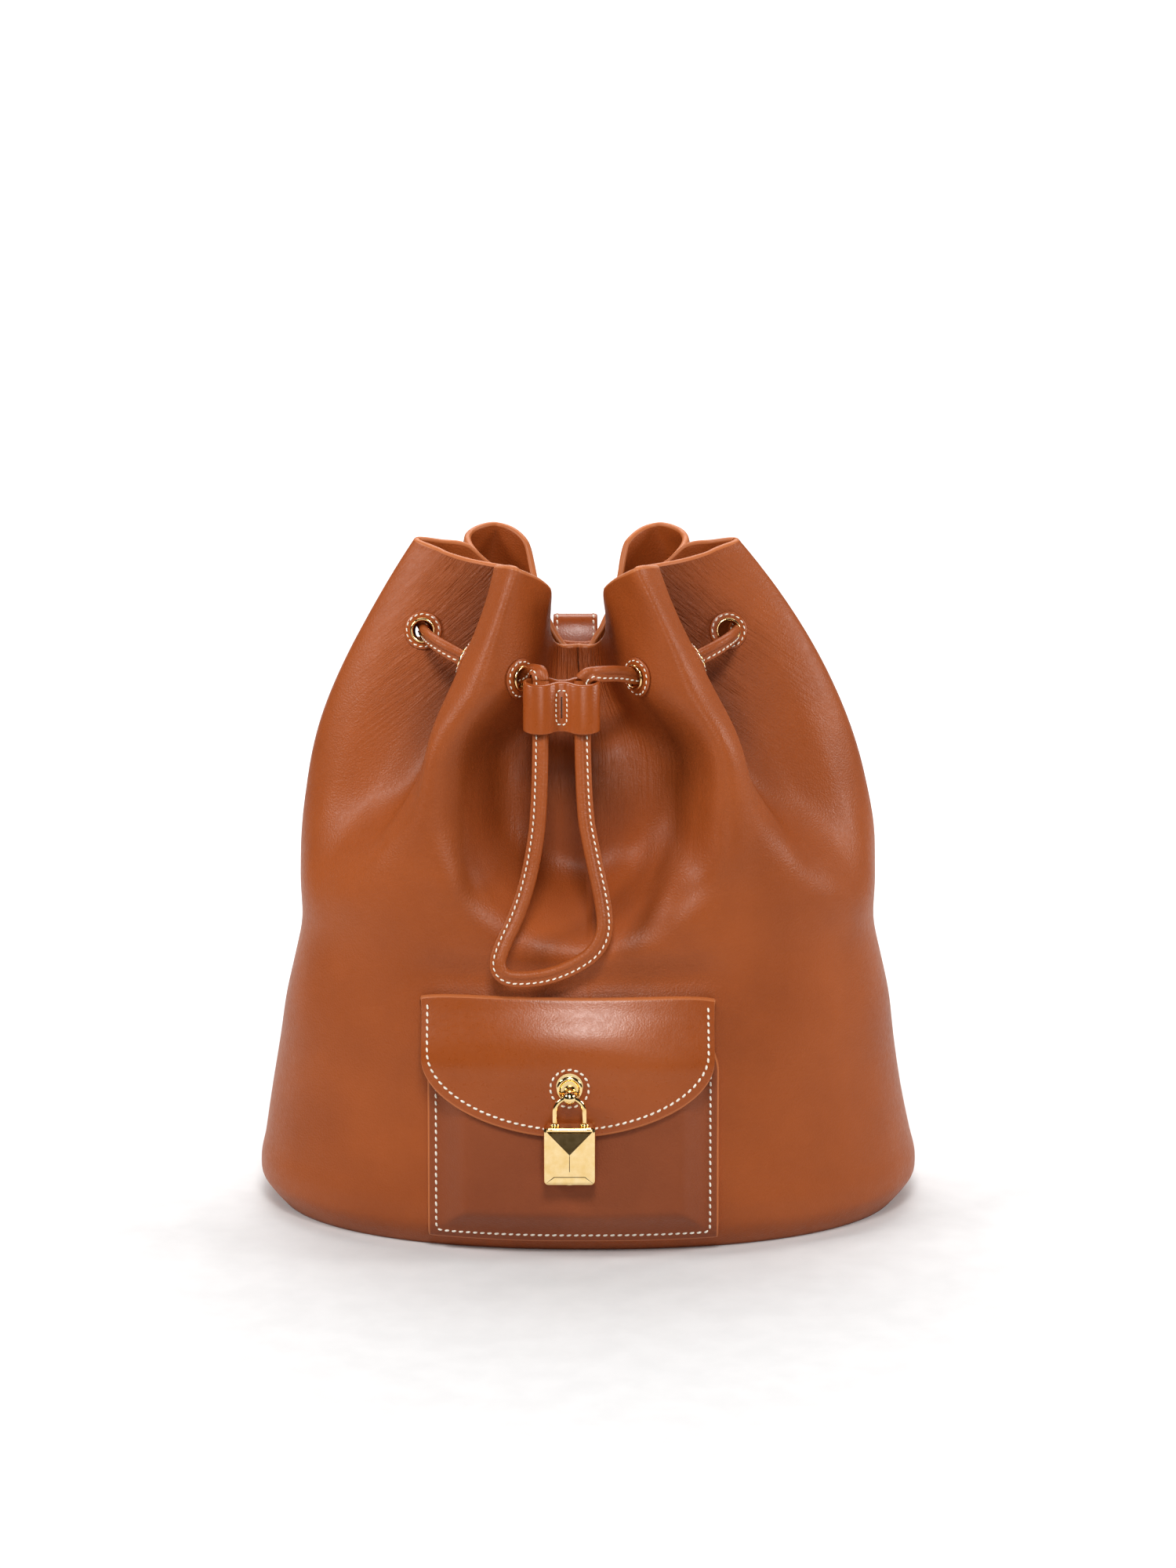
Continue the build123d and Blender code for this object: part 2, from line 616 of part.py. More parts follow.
case_bottom = CASE_TOP - CASE_HEIGHT
with BuildPart() as padlock_case:
    with BuildSketch(Plane.XY.offset(case_bottom)):
        with Locations((POCKET_X, EYE_Y)):
            Rectangle(CASE_WIDTH, CASE_DEPTH)
    extrude(amount=CASE_HEIGHT)
    fillet(padlock_case.edges().filter_by(Axis.Y).group_by(Axis.Z)[0], radius=2.0)
    chamfer(padlock_case.faces().sort_by(Axis.Y)[0].edges(), length=0.8)
    with BuildSketch(Plane.XY.offset(CASE_TOP)):
        with Locations((POCKET_X - BOW_RADIUS, EYE_Y), (POCKET_X + BOW_RADIUS, EYE_Y)):
            Circle(WIRE_RADIUS + SHACKLE_CLEARANCE)
    extrude(amount=-SHACKLE_DEPTH - 0.5, mode=Mode.SUBTRACT)
    with BuildSketch(Plane.XY.offset(case_bottom)):
        with Locations((POCKET_X, EYE_Y)):
            Circle(PLUG_RADIUS + PLUG_CLEARANCE)
    extrude(amount=PLUG_LENGTH + 0.2, mode=Mode.SUBTRACT)
padlock_case.part.label = "padlock_case"
export_step(padlock_case.part, "parts/padlock_case.step")

with BuildPart() as lock_plug:
    with BuildSketch(Plane.XY.offset(case_bottom)):
        with Locations((POCKET_X, EYE_Y)):
            Circle(PLUG_RADIUS)
            Rectangle(4.0, 0.9, mode=Mode.SUBTRACT)
    extrude(amount=PLUG_LENGTH)
lock_plug.part.label = "lock_plug"
export_step(lock_plug.part, "parts/lock_plug.step")

# ---------------------------------------------------------------------------
# Hang loop on the back: a sewn root, a patch over it and the standing loop
# ---------------------------------------------------------------------------
strap_side = Plane.YZ.offset(STRAP_X - STRAP_WIDTH / 2)
with BuildPart() as hang_loop_root:
    with BuildSketch(strap_side):
        with BuildLine():
            Polyline((86.0, 101), (84.6, 123.5), (89.2, 123.5), (90.6, 101), close=True)
        make_face()
    extrude(amount=STRAP_WIDTH)
hang_loop_root.part.label = "hang_loop_root"
export_step(hang_loop_root.part, "parts/hang_loop_root.step")

with BuildPart() as hang_loop_patch:
    with BuildSketch(Plane.YZ.offset(STRAP_X - PATCH_WIDTH / 2)):
        with BuildLine():
            Polyline((90.9, 97), (89.4, 122), (91.2, 122), (92.7, 97), close=True)
        make_face()
    extrude(amount=PATCH_WIDTH)
hang_loop_patch.part.label = "hang_loop_patch"
export_step(hang_loop_patch.part, "parts/hang_loop_patch.step")

with BuildPart() as hang_loop:
    with BuildSketch(strap_side):
        with BuildLine():
            outside = Spline((90.0, 129.5), (91.4, 165), (90.2, 205), (86.0, 243), (76.2, 259.8),
                             (67.2, 243), (69.3, 205), (77.6, 165), (84.8, 129.5))
            Line(outside @ 0, outside @ 1)
        make_face()
        with BuildLine():
            inside = Spline((87.8, 136), (89.0, 165), (87.8, 205), (83.7, 242), (76.4, 257.4),
                            (69.6, 242), (71.8, 205), (79.9, 165), (87.0, 136))
            Line(inside @ 0, inside @ 1)
        make_face(mode=Mode.SUBTRACT)
    extrude(amount=STRAP_WIDTH)
hang_loop.part.label = "hang_loop"
export_step(hang_loop.part, "parts/hang_loop.step")
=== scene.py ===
import math

import bpy
import numpy as np
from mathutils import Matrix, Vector


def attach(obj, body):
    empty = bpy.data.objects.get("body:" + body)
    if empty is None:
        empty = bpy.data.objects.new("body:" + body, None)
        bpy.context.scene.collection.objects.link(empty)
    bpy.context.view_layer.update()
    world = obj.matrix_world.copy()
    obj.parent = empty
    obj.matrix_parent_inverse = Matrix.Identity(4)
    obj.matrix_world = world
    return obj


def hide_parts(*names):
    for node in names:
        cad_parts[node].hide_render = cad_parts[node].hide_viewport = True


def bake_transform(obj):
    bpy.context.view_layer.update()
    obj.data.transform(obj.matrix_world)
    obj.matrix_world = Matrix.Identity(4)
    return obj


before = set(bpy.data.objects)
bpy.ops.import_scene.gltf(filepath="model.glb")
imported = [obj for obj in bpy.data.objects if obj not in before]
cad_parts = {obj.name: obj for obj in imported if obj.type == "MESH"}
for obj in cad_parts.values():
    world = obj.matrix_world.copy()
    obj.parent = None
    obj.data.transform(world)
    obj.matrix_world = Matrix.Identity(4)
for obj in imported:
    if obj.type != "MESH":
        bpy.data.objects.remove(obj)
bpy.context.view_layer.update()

# Numbers, in millimetres unless a comment says otherwise.  +Z up, front towards -Y, the
# origin in the middle of the base on the floor.  The body's numbers are the CAD's.
MM = 0.001
LEATHER = 2.2
OVAL_POWER = 2.2
MOUTH_SHIFT = -5.0
HALF_WIDTH = [(0, 143), (6, 148), (12, 152), (18, 152.5), (30, 150), (51, 146), (75, 142),
              (96, 139), (118, 134), (130, 131.5), (150, 132.5), (165, 132.5), (192, 131)]
HALF_DEPTH = [(0, 86), (6, 91), (12, 94), (18, 94.5), (30, 93), (51, 90), (96, 86),
              (134, 83), (165, 80)]
# Rim rows from the front middle to the back middle: x, y, edge height, foot of the gather
RIM = [
    (0, 8, 255, 128), (-11, 1, 259, 133), (-12, -30, 287, 149),
    (-27, -56, 299, 165), (-43, -43, 299, 165), (-43, -25, 296, 163),
    (-38, -13, 294, 154), (-50, -9, 297, 146), (-63, -4, 301, 148),
    (-74, 5, 305, 165), (-63, 13, 303, 160), (-50, 17, 300, 150),
    (-38, 21, 289, 146), (-47, 33, 293, 147), (-52, 50, 301, 150),
    (-38, 63, 304, 150), (-22, 54, 296, 145), (-13, 36, 266, 132),
    (0, 28, 249, 128),
]
RIDGE_SHARE = [0.0, 0.25, 0.75, 1.0, 0.75, 0.25]
STATIONS = 36
SEAMS = (9, 27)                # stations of the two side seams
STATION_WIDTH = 21.5           # leather between two stations, about
EYELETS = [(2.3, 252), (4.9, 257), (7.4, 266), (10.6, 262), (13.5, 256), (16.3, 250)]
EYELET_SHIFT = 0.12            # the right eyelets sit this much nearer the front
EYELETS += [(STATIONS + EYELET_SHIFT - station, z) for station, z in reversed(EYELETS)]
EYELET_HOLE = 5.05             # radius of the hole in the leather
PATCH_RADIUS = 8.6

LEG_LEAN = math.radians(11.5)
SLIDER_TOP = (-11.5, -62.0, 252.0)
SLIDER_LENGTH = 21.5
SLIDER_SLANT = 0.4             # the band's front hangs lower than its back by this share of y

POCKET_X = -8.0
EYE = (-8.0, -107.8, 77.0)     # middle of the padlock's eye
STRAP_X = -6.0

FACING = 1.0                   # leather facing inside the mouth
FACING_END = 238.5             # height at which it ends, under the eyelets
LINING_FAR, LINING_NEAR = 0.35, 1.1              # its two faces, counted from the leather
BASE_THICKNESS, BASE_INSET, BASE_SEAM = 2.2, 2.4, 6.5
BOARD_LOW, BOARD_TOP, BOARD_INSET = 2.3, 4.8, 6.0
COLUMNS = 576                  # mesh columns round the body
ROWS = 190                     # mesh rows from the base to the rim

# Routes of the drawstring, the CAD's points
RING_LEFT = [
    (-20.5, -62, 252), (-20.8, -61.2, 256.4), (-24.5, -56, 255.6), (-31, -48, 250.8),
    (-43, -41, 251.5), (-53, -35.5, 256), (-64.5, -32, 261.5), (-72.5, -21.5, 265),
    (-75.8, 2.5, 265), (-77.5, 27.5, 261), (-73.5, 42, 257), (-62, 48.5, 255.3),
    (-47, 50.5, 252), (-33, 52, 250), (-20.5, 59, 248.3), (-8, 61.5, 245.2),
]
RING_MIRROR = -7.0
RING_RIGHT_END = [(14, -56, 254.4), (5.5, -60, 254.6), (-0.5, -61.4, 254.8), (-2.5, -62, 252)]
RING_ROUTE = (RING_LEFT + [(RING_MIRROR - x, y, z) for x, y, z in reversed(RING_LEFT[3:])]
              + RING_RIGHT_END)
LOOP_ROUTE = [
    (-20.5, -62, 252), (-20.5, -72.4, 201), (-24.5, -78.5, 172), (-30.5, -83.5, 153),
    (-37.5, -87.5, 139.5), (-40, -90, 131), (-36, -91, 125.8), (-27, -91, 125.3),
    (-16, -91, 127), (-5, -90.2, 131.5), (3.8, -88.5, 137.5), (7.8, -86.5, 146),
    (6.6, -82.8, 158.5), (2.2, -77.6, 177), (-2.5, -72.4, 201), (-2.5, -62, 252),
]
CORD_WIDTH = 7.2               # bead and stitched edge together
BEAD_RADIUS = 2.05
EDGE_HALF = 0.85               # half thickness of the cord's flat edge
CORD_SEAM = 1.75               # from that edge's end to its stitches
STITCH_PITCH = 3.2


# ---- Camera ----
def add_camera():
    """The photograph's viewpoint: straight in front, looking a little down."""
    target = np.array([0.0, 0.0, 0.193])
    elevation = math.radians(12)
    distance = 1.5
    camera = bpy.data.objects.new("camera", bpy.data.cameras.new("camera"))
    camera.data.lens = 75.3
    camera.data.sensor_width = 36.0
    camera.location = target + distance * np.array([0, -math.cos(elevation), math.sin(elevation)])
    camera.rotation_euler = (math.radians(90) - elevation, 0, 0)
    bpy.context.scene.collection.objects.link(camera)
    bpy.context.scene.camera = camera


# ---- Small tools ----
def unit(vectors):
    """Vectors of length one."""
    vectors = np.asarray(vectors, float)
    return vectors / np.maximum(np.linalg.norm(vectors, axis=-1, keepdims=True), 1e-9)


def full_turn(count):
    """Angles evenly spaced all the way round."""
    return np.linspace(0, 2 * math.pi, count, endpoint=False)


def distance_along(points):
    """How far along a line each of its points lies."""
    return np.concatenate([[0], np.cumsum(np.linalg.norm(np.diff(points, axis=0), axis=1))])


def spline_value(p, q, r, s, t):
    """A smooth curve through four neighbours, at t between the second and the third."""
    return q + 0.5 * t * (r - p + t * (2 * p - 5 * q + 4 * r - s + t * (3 * (q - r) + s - p)))


def smoothstep(low, high, value):
    """0 at low, 1 at high and smooth in between, for low above or below high."""
    t = np.clip((value - low) / (high - low), 0, 1)
    return t * t * (3 - 2 * t)


def curve_through(rows, at):
    """Values on a smooth curve through the rows of a table."""
    places = np.array([row[0] for row in rows], float)
    values = np.array([row[1] for row in rows], float)
    slopes = np.gradient(values, places)
    i = np.clip(np.searchsorted(places, at) - 1, 0, len(places) - 2)
    span = places[i + 1] - places[i]
    t = np.clip((at - places[i]) / span, 0, 1)
    start = (1 + 2 * t) * (1 - t) ** 2 * values[i] + t * (1 - t) ** 2 * span * slopes[i]
    end = t * t * (3 - 2 * t) * values[i + 1] + t * t * (t - 1) * span * slopes[i + 1]
    return start + end


def spline_points(controls, count, closed=False):
    """Evenly spaced points on a smooth curve through the controls."""
    controls = np.array(controls, float)
    number = len(controls)
    parts = number if closed else number - 1
    fine = np.linspace(0, parts, parts * 24 + 1)
    i = np.minimum(fine.astype(int), parts - 1)
    near = [(i + k) % number if closed else np.clip(i + k, 0, number - 1) for k in (-1, 0, 1, 2)]
    line = spline_value(*controls[np.array(near)], (fine - i)[:, None])
    travelled = distance_along(line)
    wanted = np.linspace(0, travelled[-1], count, endpoint=not closed)
    return np.stack([np.interp(wanted, travelled, line[:, k]) for k in range(line.shape[1])], 1)


noise_lattice = np.random.default_rng(11).random((256, 256)) * 2 - 1


def noise(u, v):
    """Smooth noise between -1 and 1, one bump for each whole number."""
    i, j = np.floor(u).astype(int), np.floor(v).astype(int)
    s, t = smoothstep(0, 1, u - i), smoothstep(0, 1, v - j)
    a = noise_lattice[i % 256, j % 256] * (1 - s) + noise_lattice[(i + 1) % 256, j % 256] * s
    b = (noise_lattice[i % 256, (j + 1) % 256] * (1 - s)
         + noise_lattice[(i + 1) % 256, (j + 1) % 256] * s)
    return a * (1 - t) + b * t


def piece(name, points, faces, materials, body, slot, replaces=(), face_materials=None):
    """A mesh object from points in millimetres, with its finish, body and CAD nodes."""
    mesh = bpy.data.meshes.new(name)
    mesh.from_pydata((np.asarray(points, float) * MM).tolist(), [], faces)
    for each in materials:
        mesh.materials.append(each)
    if face_materials is not None:
        mesh.polygons.foreach_set("material_index", np.asarray(face_materials, np.int32))
    mesh.update()
    mesh.shade_smooth()
    made = bpy.data.objects.new(name, mesh)
    bpy.context.scene.collection.objects.link(made)
    if body:
        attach(made, body)
    if replaces:
        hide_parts(*replaces)
    return made


def grid_faces(rows, columns, wrap_rows=False, wrap_columns=False):
    """Quads of a grid of points that are stored row by row."""
    r = np.arange(rows if wrap_rows else rows - 1)[:, None]
    c = np.arange(columns if wrap_columns else columns - 1)[None, :]
    up, along = (r + 1) % rows, (c + 1) % columns
    quads = np.stack([r * columns + c, up * columns + c, up * columns + along,
                      r * columns + along], axis=-1)
    return quads.reshape(-1, 4).tolist()


def tube_faces(rows, columns):
    """Faces of a row of rings, closed at both ends."""
    ends = [list(range(columns)), list(range(rows * columns - 1, (rows - 1) * columns - 1, -1))]
    return grid_faces(rows, columns, wrap_columns=True) + ends


def slab(outer, inner):
    """Points, faces and face kinds of a closed sheet between two grids, its edge rounded.
    The kinds are 0 outside, 1 edge and 2 inside."""
    rows, columns = outer.shape[:2]
    loop = [(0, c) for c in range(columns)] + [(r, columns - 1) for r in range(1, rows)]
    loop += [(rows - 1, c) for c in range(columns - 2, -1, -1)]
    loop += [(r, 0) for r in range(rows - 2, 0, -1)]
    r, c = np.array(loop).T
    out, into = outer[r, c], inner[r, c]
    middle = (out + into) / 2
    near = (outer + inner)[np.clip(r, 1, rows - 2), np.clip(c, 1, columns - 2)] / 2
    away = unit(middle - near) * np.linalg.norm(out - into, axis=1, keepdims=True) / 2
    edges = [middle + (out - into) / 2 * math.cos(a) + away * math.sin(a)
             for a in np.linspace(0, math.pi, 7)[1:-1]]
    points = np.concatenate([outer.reshape(-1, 3), inner.reshape(-1, 3)] + edges)
    count, around = rows * columns, len(loop)
    faces = grid_faces(rows, columns)
    kinds = [0] * len(faces)
    back = [[q[3] + count, q[2] + count, q[1] + count, q[0] + count] for q in faces]
    flat = r * columns + c
    rings = [flat] + [2 * count + k * around + np.arange(around) for k in range(len(edges))]
    rings.append(flat + count)
    strips = []
    for a, b in zip(rings, rings[1:]):
        for k in range(around):
            n = (k + 1) % around
            strips.append([int(a[k]), int(a[n]), int(b[n]), int(b[k])])
    return points, faces + back + strips, kinds + [2] * len(back) + [1] * len(strips)


def squared(across, tangent):
    """Directions across, made square to the tangents."""
    across = np.asarray(across, float)
    return unit(across - tangent * (across * tangent).sum(1, keepdims=True))


def sweep(path, across, profile, closed=False):
    """Points and faces of a profile carried along a path; profile x lies along across."""
    if closed:
        tangent = unit(np.roll(path, -1, axis=0) - np.roll(path, 1, axis=0))
    else:
        tangent = unit(np.gradient(path, axis=0))
    across = squared(across, tangent)
    over = np.cross(tangent, across)
    profile = np.asarray(profile, float)
    points = (path[:, None] + across[:, None] * profile[None, :, :1]
              + over[:, None] * profile[None, :, 1:])
    rows, columns = len(path), len(profile)
    faces = grid_faces(rows, columns, True, True) if closed else tube_faces(rows, columns)
    return points.reshape(-1, 3), faces


def rounded_box(half_x, half_y, radius, arc=4):
    """Outline of a rectangle with rounded corners."""
    outline = []
    for cx, cy, first in ((1, 1, 0), (-1, 1, 90), (-1, -1, 180), (1, -1, 270)):
        for step in range(arc + 1):
            angle = math.radians(first + 90 * step / arc)
            outline.append((cx * (half_x - radius) + radius * math.cos(angle),
                            cy * (half_y - radius) + radius * math.sin(angle)))
    return outline


def soft_box(half_x, half_z, middle_z, power, count):
    """X and z of an upright box with soft corners, squarer for a smaller power."""
    side, rise = np.cos(full_turn(count)), np.sin(full_turn(count))
    return (half_x * np.sign(side) * np.abs(side) ** power,
            middle_z + half_z * np.sign(rise) * np.abs(rise) ** power)


def ring_round(axis, sides):
    """Directions all the way round an axis."""
    first = unit(np.cross(axis, (0.31, 0.2, 0.93)))
    turn = full_turn(sides)[:, None]
    return first * np.cos(turn) + np.cross(axis, first) * np.sin(turn)


def revolved(profile, centre, axis, sides=48):
    """Points and faces of a closed profile (radius, height) turned round an axis."""
    axis = unit(axis)
    profile = np.asarray(profile, float)
    points = (np.asarray(centre, float) + ring_round(axis, sides)[:, None] * profile[None, :, :1]
              + axis * profile[None, :, 1:])
    return points.reshape(-1, 3), grid_faces(sides, len(profile), True, True)


def pin(centre, axis, radius, length, sides=40):
    """A closed cylinder round an axis, as points and faces."""
    ring = centre + radius * ring_round(axis, sides)
    half = np.asarray(axis, float) * length / 2
    return np.concatenate([ring + half, ring - half]), tube_faces(2, sides)


def merged(parts):
    """Several (points, faces) as one."""
    points, faces, count = [], [], 0
    for some_points, some_faces in parts:
        points.append(np.asarray(some_points))
        faces += [[index + count for index in face] for face in some_faces]
        count += len(some_points)
    return np.concatenate(points), faces


STITCH_SIDES = 6
STITCH_RINGS = 6
STITCH_SLANT = 0.14            # how far a stitch leans off its row, as a share of its length
EYELET_THREAD = {"pitch": 2.75, "length": 1.95, "radius": 0.34}
CORD_THREAD = {"pitch": 2.9, "length": 2.1, "radius": 0.36}
SLIDER_THREAD = {"pitch": 2.2, "length": 1.7, "radius": 0.34}


def stitch_row(path, normals, pitch=STITCH_PITCH, length=2.35, radius=0.5, closed=False):
    """Points and faces of a row of thread stitches on a path, each dipping at its ends."""
    normals = np.broadcast_to(np.asarray(normals, float), path.shape)
    if closed:
        path, normals = np.vstack([path, path[:1]]), np.vstack([normals, normals[:1]])
    travelled = distance_along(path)
    count = max(1, round(travelled[-1] / pitch))
    starts = np.arange(count) * travelled[-1] / count + (travelled[-1] / count - length) / 2
    t = np.linspace(0, 1, STITCH_RINGS)
    s = starts[:, None] + t[None, :] * length
    place = np.stack([np.interp(s, travelled, path[:, k]) for k in range(3)], -1)
    up = unit(np.stack([np.interp(s, travelled, normals[:, k]) for k in range(3)], -1))
    along = unit(place[:, -1] - place[:, 0])[:, None]
    side = unit(np.cross(up, along))
    hump = np.sin(math.pi * t)
    place = (place + side * ((t - 0.5) * length * STITCH_SLANT)[None, :, None]
             + up * (radius * (0.75 * hump - 0.35))[None, :, None])
    width = radius * np.sqrt(np.clip(1 - (2 * t - 1) ** 4, 0.02, 1))
    turn = full_turn(STITCH_SIDES)[None, None, :, None]
    ring = side[:, :, None] * np.cos(turn) + up[:, :, None] * np.sin(turn) * 0.85
    points = place[:, :, None] + ring * width[None, :, None, None]
    one = tube_faces(STITCH_RINGS, STITCH_SIDES)
    block = STITCH_SIDES * STITCH_RINGS
    faces = [[index + k * block for index in face] for k in range(count) for face in one]
    return points.reshape(-1, 3), faces


# ---- Materials ----
class Finish:
    """A node material: a principled shader and the textures that drive it."""

    def __init__(self, name):
        self.material = bpy.data.materials.new(name)
        self.material.use_nodes = True
        self.tree = self.material.node_tree
        self.shader = self.tree.nodes["Principled BSDF"].inputs
        self.place = self.node("TexCoord", {})["Object"]

    def put(self, inputs, values):
        """Numbers, or the outputs of other nodes, into inputs."""
        for key, value in values.items():
            if isinstance(value, bpy.types.NodeSocket):
                self.tree.links.new(value, inputs[key])
            else:
                inputs[key].default_value = value

    def node(self, kind, values, **settings):
        """Adds a node and returns its outputs."""
        added = self.tree.nodes.new("ShaderNode" + kind)
        for key, value in settings.items():
            setattr(added, key, value)
        self.put(added.inputs, values)
        return added.outputs

    def clouds(self, scale, detail, roughness=0.5):
        """Noise over the object."""
        return self.node("TexNoise", {"Vector": self.place, "Scale": scale, "Detail": detail,
                                      "Roughness": roughness})["Fac"]

    def colours(self, factor, dark, light):
        """Base colour that drifts between two colours."""
        ramp = self.tree.nodes.new("ShaderNodeValToRGB")
        for stop, position, colour in zip(ramp.color_ramp.elements, (0.35, 0.65), (dark, light)):
            stop.position = position
            stop.color = (*colour, 1)
        self.put(ramp.inputs, {"Fac": factor})
        self.put(self.shader, {"Base Color": ramp.outputs["Color"]})

    def roughness(self, factor, low, high):
        """Roughness that drifts between two values."""
        spread = self.node("MapRange", {"Value": factor, "From Min": 0.3, "From Max": 0.7,
                                        "To Min": low, "To Max": high})
        self.put(self.shader, {"Roughness": spread["Result"]})

    def bumps(self, layers):
        """One bump after another: each layer is (height, strength, distance in metres)."""
        below = {}
        for height, strength, distance in layers:
            bump = self.node("Bump", {"Height": height, "Strength": strength,
                                      "Distance": distance, **below})
            below = {"Normal": bump["Normal"]}
        self.put(self.shader, below)

    def creases(self, mask, place, stretch):
        """Height of fine folds, long in one direction, where a mask of the mesh lets them."""
        flat = self.node("Attribute", {}, attribute_name=place)["Vector"]
        long = self.node("VectorMath", {0: flat, 1: stretch}, operation="MULTIPLY")["Vector"]
        folds = self.node("TexNoise", {"Vector": long, "Scale": 1.0, "Detail": 3.0,
                                       "Roughness": 0.6, "Distortion": 0.35})["Fac"]
        strength = self.node("Attribute", {}, attribute_name=mask)["Fac"]
        return self.node("Math", {0: folds, 1: strength}, operation="MULTIPLY")["Value"]

    def paint_fold_shade(self):
        """Painted shade: darker leather where the mesh says that a fold is deep, standing in for
        the shade that falls there.
        """
        painted_shade = self.node("Attribute", {}, attribute_name="painted_fold_shade")["Fac"]
        shade_dimming = self.node("MapRange", {"Value": painted_shade, "To Min": 1.0, "To Max": 0.58})["Result"]
        plain = self.shader["Base Color"].links[0].from_socket
        shaded_colour = self.node("HueSaturation", {"Value": shade_dimming, "Color": plain})["Color"]
        self.put(self.shader, {"Base Color": shaded_colour})


def leather(name, dark, light, rough=(0.40, 0.52), grain=0.6, coat=0.06, creased=False):
    """Smooth calf: a pore grain, soft clouds of colour and, if creased, fine folds with painted
    shade in the deep ones.
    """
    finish = Finish(name)
    fine, soft = finish.clouds(420.0, 3.0), finish.clouds(75.0, 3.0)
    pores = finish.node("TexVoronoi", {"Vector": finish.place, "Scale": 1150.0})["Distance"]
    finish.colours(finish.clouds(16.0, 5.0, 0.55), dark, light)
    finish.roughness(fine, *rough)
    layers = [(soft, 0.25, 0.0006), (pores, grain, 0.0002), (fine, 0.25, 0.00012)]
    if creased:
        layers.append((finish.creases("crease_up", "grain_place", (0.62, 0.055, 1)), 0.9, 0.0020))
        layers.append((finish.creases("crease_side", "slant_place", (0.62, 0.08, 1)), 0.9, 0.0020))
        # painted shade darkens the colour deep in the folds
        finish.paint_fold_shade()
    finish.bumps(layers)
    finish.put(finish.shader, {"Specular IOR Level": 0.38, "Coat Weight": coat,
                               "Coat Roughness": 0.32})
    return finish.material


def cloth(name, dark, light):
    """Napped lining."""
    finish = Finish(name)
    nap = finish.clouds(1500.0, 4.0)
    finish.colours(finish.clouds(45.0, 6.0), dark, light)
    finish.roughness(nap, 0.82, 0.95)
    finish.bumps([(nap, 0.5, 0.0003)])
    finish.put(finish.shader, {"Sheen Weight": 0.25})
    return finish.material


def thread(name, dark, light):
    """Waxed linen thread with its twist."""
    finish = Finish(name)
    twist = finish.node("TexWave", {"Vector": finish.place, "Scale": 900.0, "Distortion": 1.5,
                                    "Detail": 1.0}, bands_direction="DIAGONAL")["Fac"]
    specks = finish.clouds(700.0, 2.0)
    finish.colours(specks, dark, light)
    finish.roughness(specks, 0.5, 0.7)
    finish.bumps([(twist, 0.5, 0.0001)])
    return finish.material


def metal(name, dark, light, rough):
    """Polished plated metal with faint wear in its gloss."""
    finish = Finish(name)
    wear = finish.clouds(260.0, 5.0)
    finish.colours(wear, dark, light)
    finish.roughness(wear, rough, rough + 0.06)
    finish.bumps([(finish.clouds(900.0, 2.0), 0.05, 0.00003)])
    finish.put(finish.shader, {"Metallic": 1.0})
    return finish.material


def studio_paper():
    """Matt white paper that glows very faintly."""
    finish = Finish("studio_paper")
    finish.colours(finish.clouds(60.0, 3.0), (0.68, 0.68, 0.68), (0.71, 0.71, 0.71))
    finish.put(finish.shader, {"Roughness": 0.9, "Emission Color": (1, 1, 1, 1),
                               "Emission Strength": 0.05})
    return finish.material


body_leather = leather("calf_body", (0.315, 0.078, 0.016), (0.375, 0.096, 0.020), creased=True)
trim_leather = leather("calf_trim", (0.325, 0.080, 0.016), (0.375, 0.096, 0.020),
                       rough=(0.26, 0.34), grain=0.2, coat=0.22)
# darker calf for the pocket: partly its own tone, partly painted shade of the bag's lower front
pocket_calf_tone_and_shade = leather("calf_pocket_tone_and_painted_shade", (0.255, 0.066, 0.020), (0.29, 0.078, 0.024),
                         rough=(0.42, 0.52))
cord_leather = leather("calf_cord", (0.34, 0.088, 0.020), (0.39, 0.105, 0.025),
                       rough=(0.36, 0.46))
edge_paint = leather("calf_edge", (0.46, 0.145, 0.045), (0.52, 0.17, 0.055), rough=(0.4, 0.5),
                     grain=0.1)
# near-black colour for the slider's slot: painted shade inside the slit
slot_painted_shade = leather("slot_painted_shadow", (0.05, 0.018, 0.008), (0.07, 0.025, 0.01), rough=(0.5, 0.6))
lining_cloth = cloth("lining_suede", (0.20, 0.085, 0.040), (0.25, 0.110, 0.052))
linen = thread("linen_thread", (0.88, 0.82, 0.70), (0.96, 0.92, 0.82))
gold = metal("gold_plate", (0.92, 0.66, 0.30), (0.98, 0.76, 0.42), 0.09)
# gold drawn nearly black: painted dark reflection on the polished facet and the centre line, which
# are the same gold as the case
painted_dark_gold = metal("gold_painted_reflection", (0.10, 0.07, 0.03), (0.14, 0.10, 0.05), 0.06)


def sew(name, rows, body="bag"):
    """Rows of stitches as one piece of linen thread."""
    return piece(name, *merged(rows), [linen], body, "thread")


# ---- The body's surface ----
LEVELS = np.arange(0.0, 341.0)
RIDGE_SLIM = {3: 2.0, 4: 7.0, 5: 9.0, 6: 6.0}    # the front ridges' tops are slimmer by this
BOWL_X, BOWL_Z = -3.0, 197.0   # middle of the round hollow between the two front ridges
BOWL_HALF_WIDTH, BOWL_HALF_HEIGHT = 62.0, 61.0
BOWL_DEPTH = 40.0
BOWL_TOP = (250, 212)          # heights between which the hollow passes into the gather
SMOOTHING = 4.5                # millimetres of height over which the gather is eased
EASE_START, EASE_END = (95, 120), (262, 235)     # heights where the easing comes in and goes out


def rim_row(station):
    """The rim row of a station; stations past the back middle mirror the left half."""
    station = station % STATIONS
    if station < len(RIM):
        return RIM[station]
    x, y, edge, foot = RIM[STATIONS - station]
    return (-x, y, edge, foot)


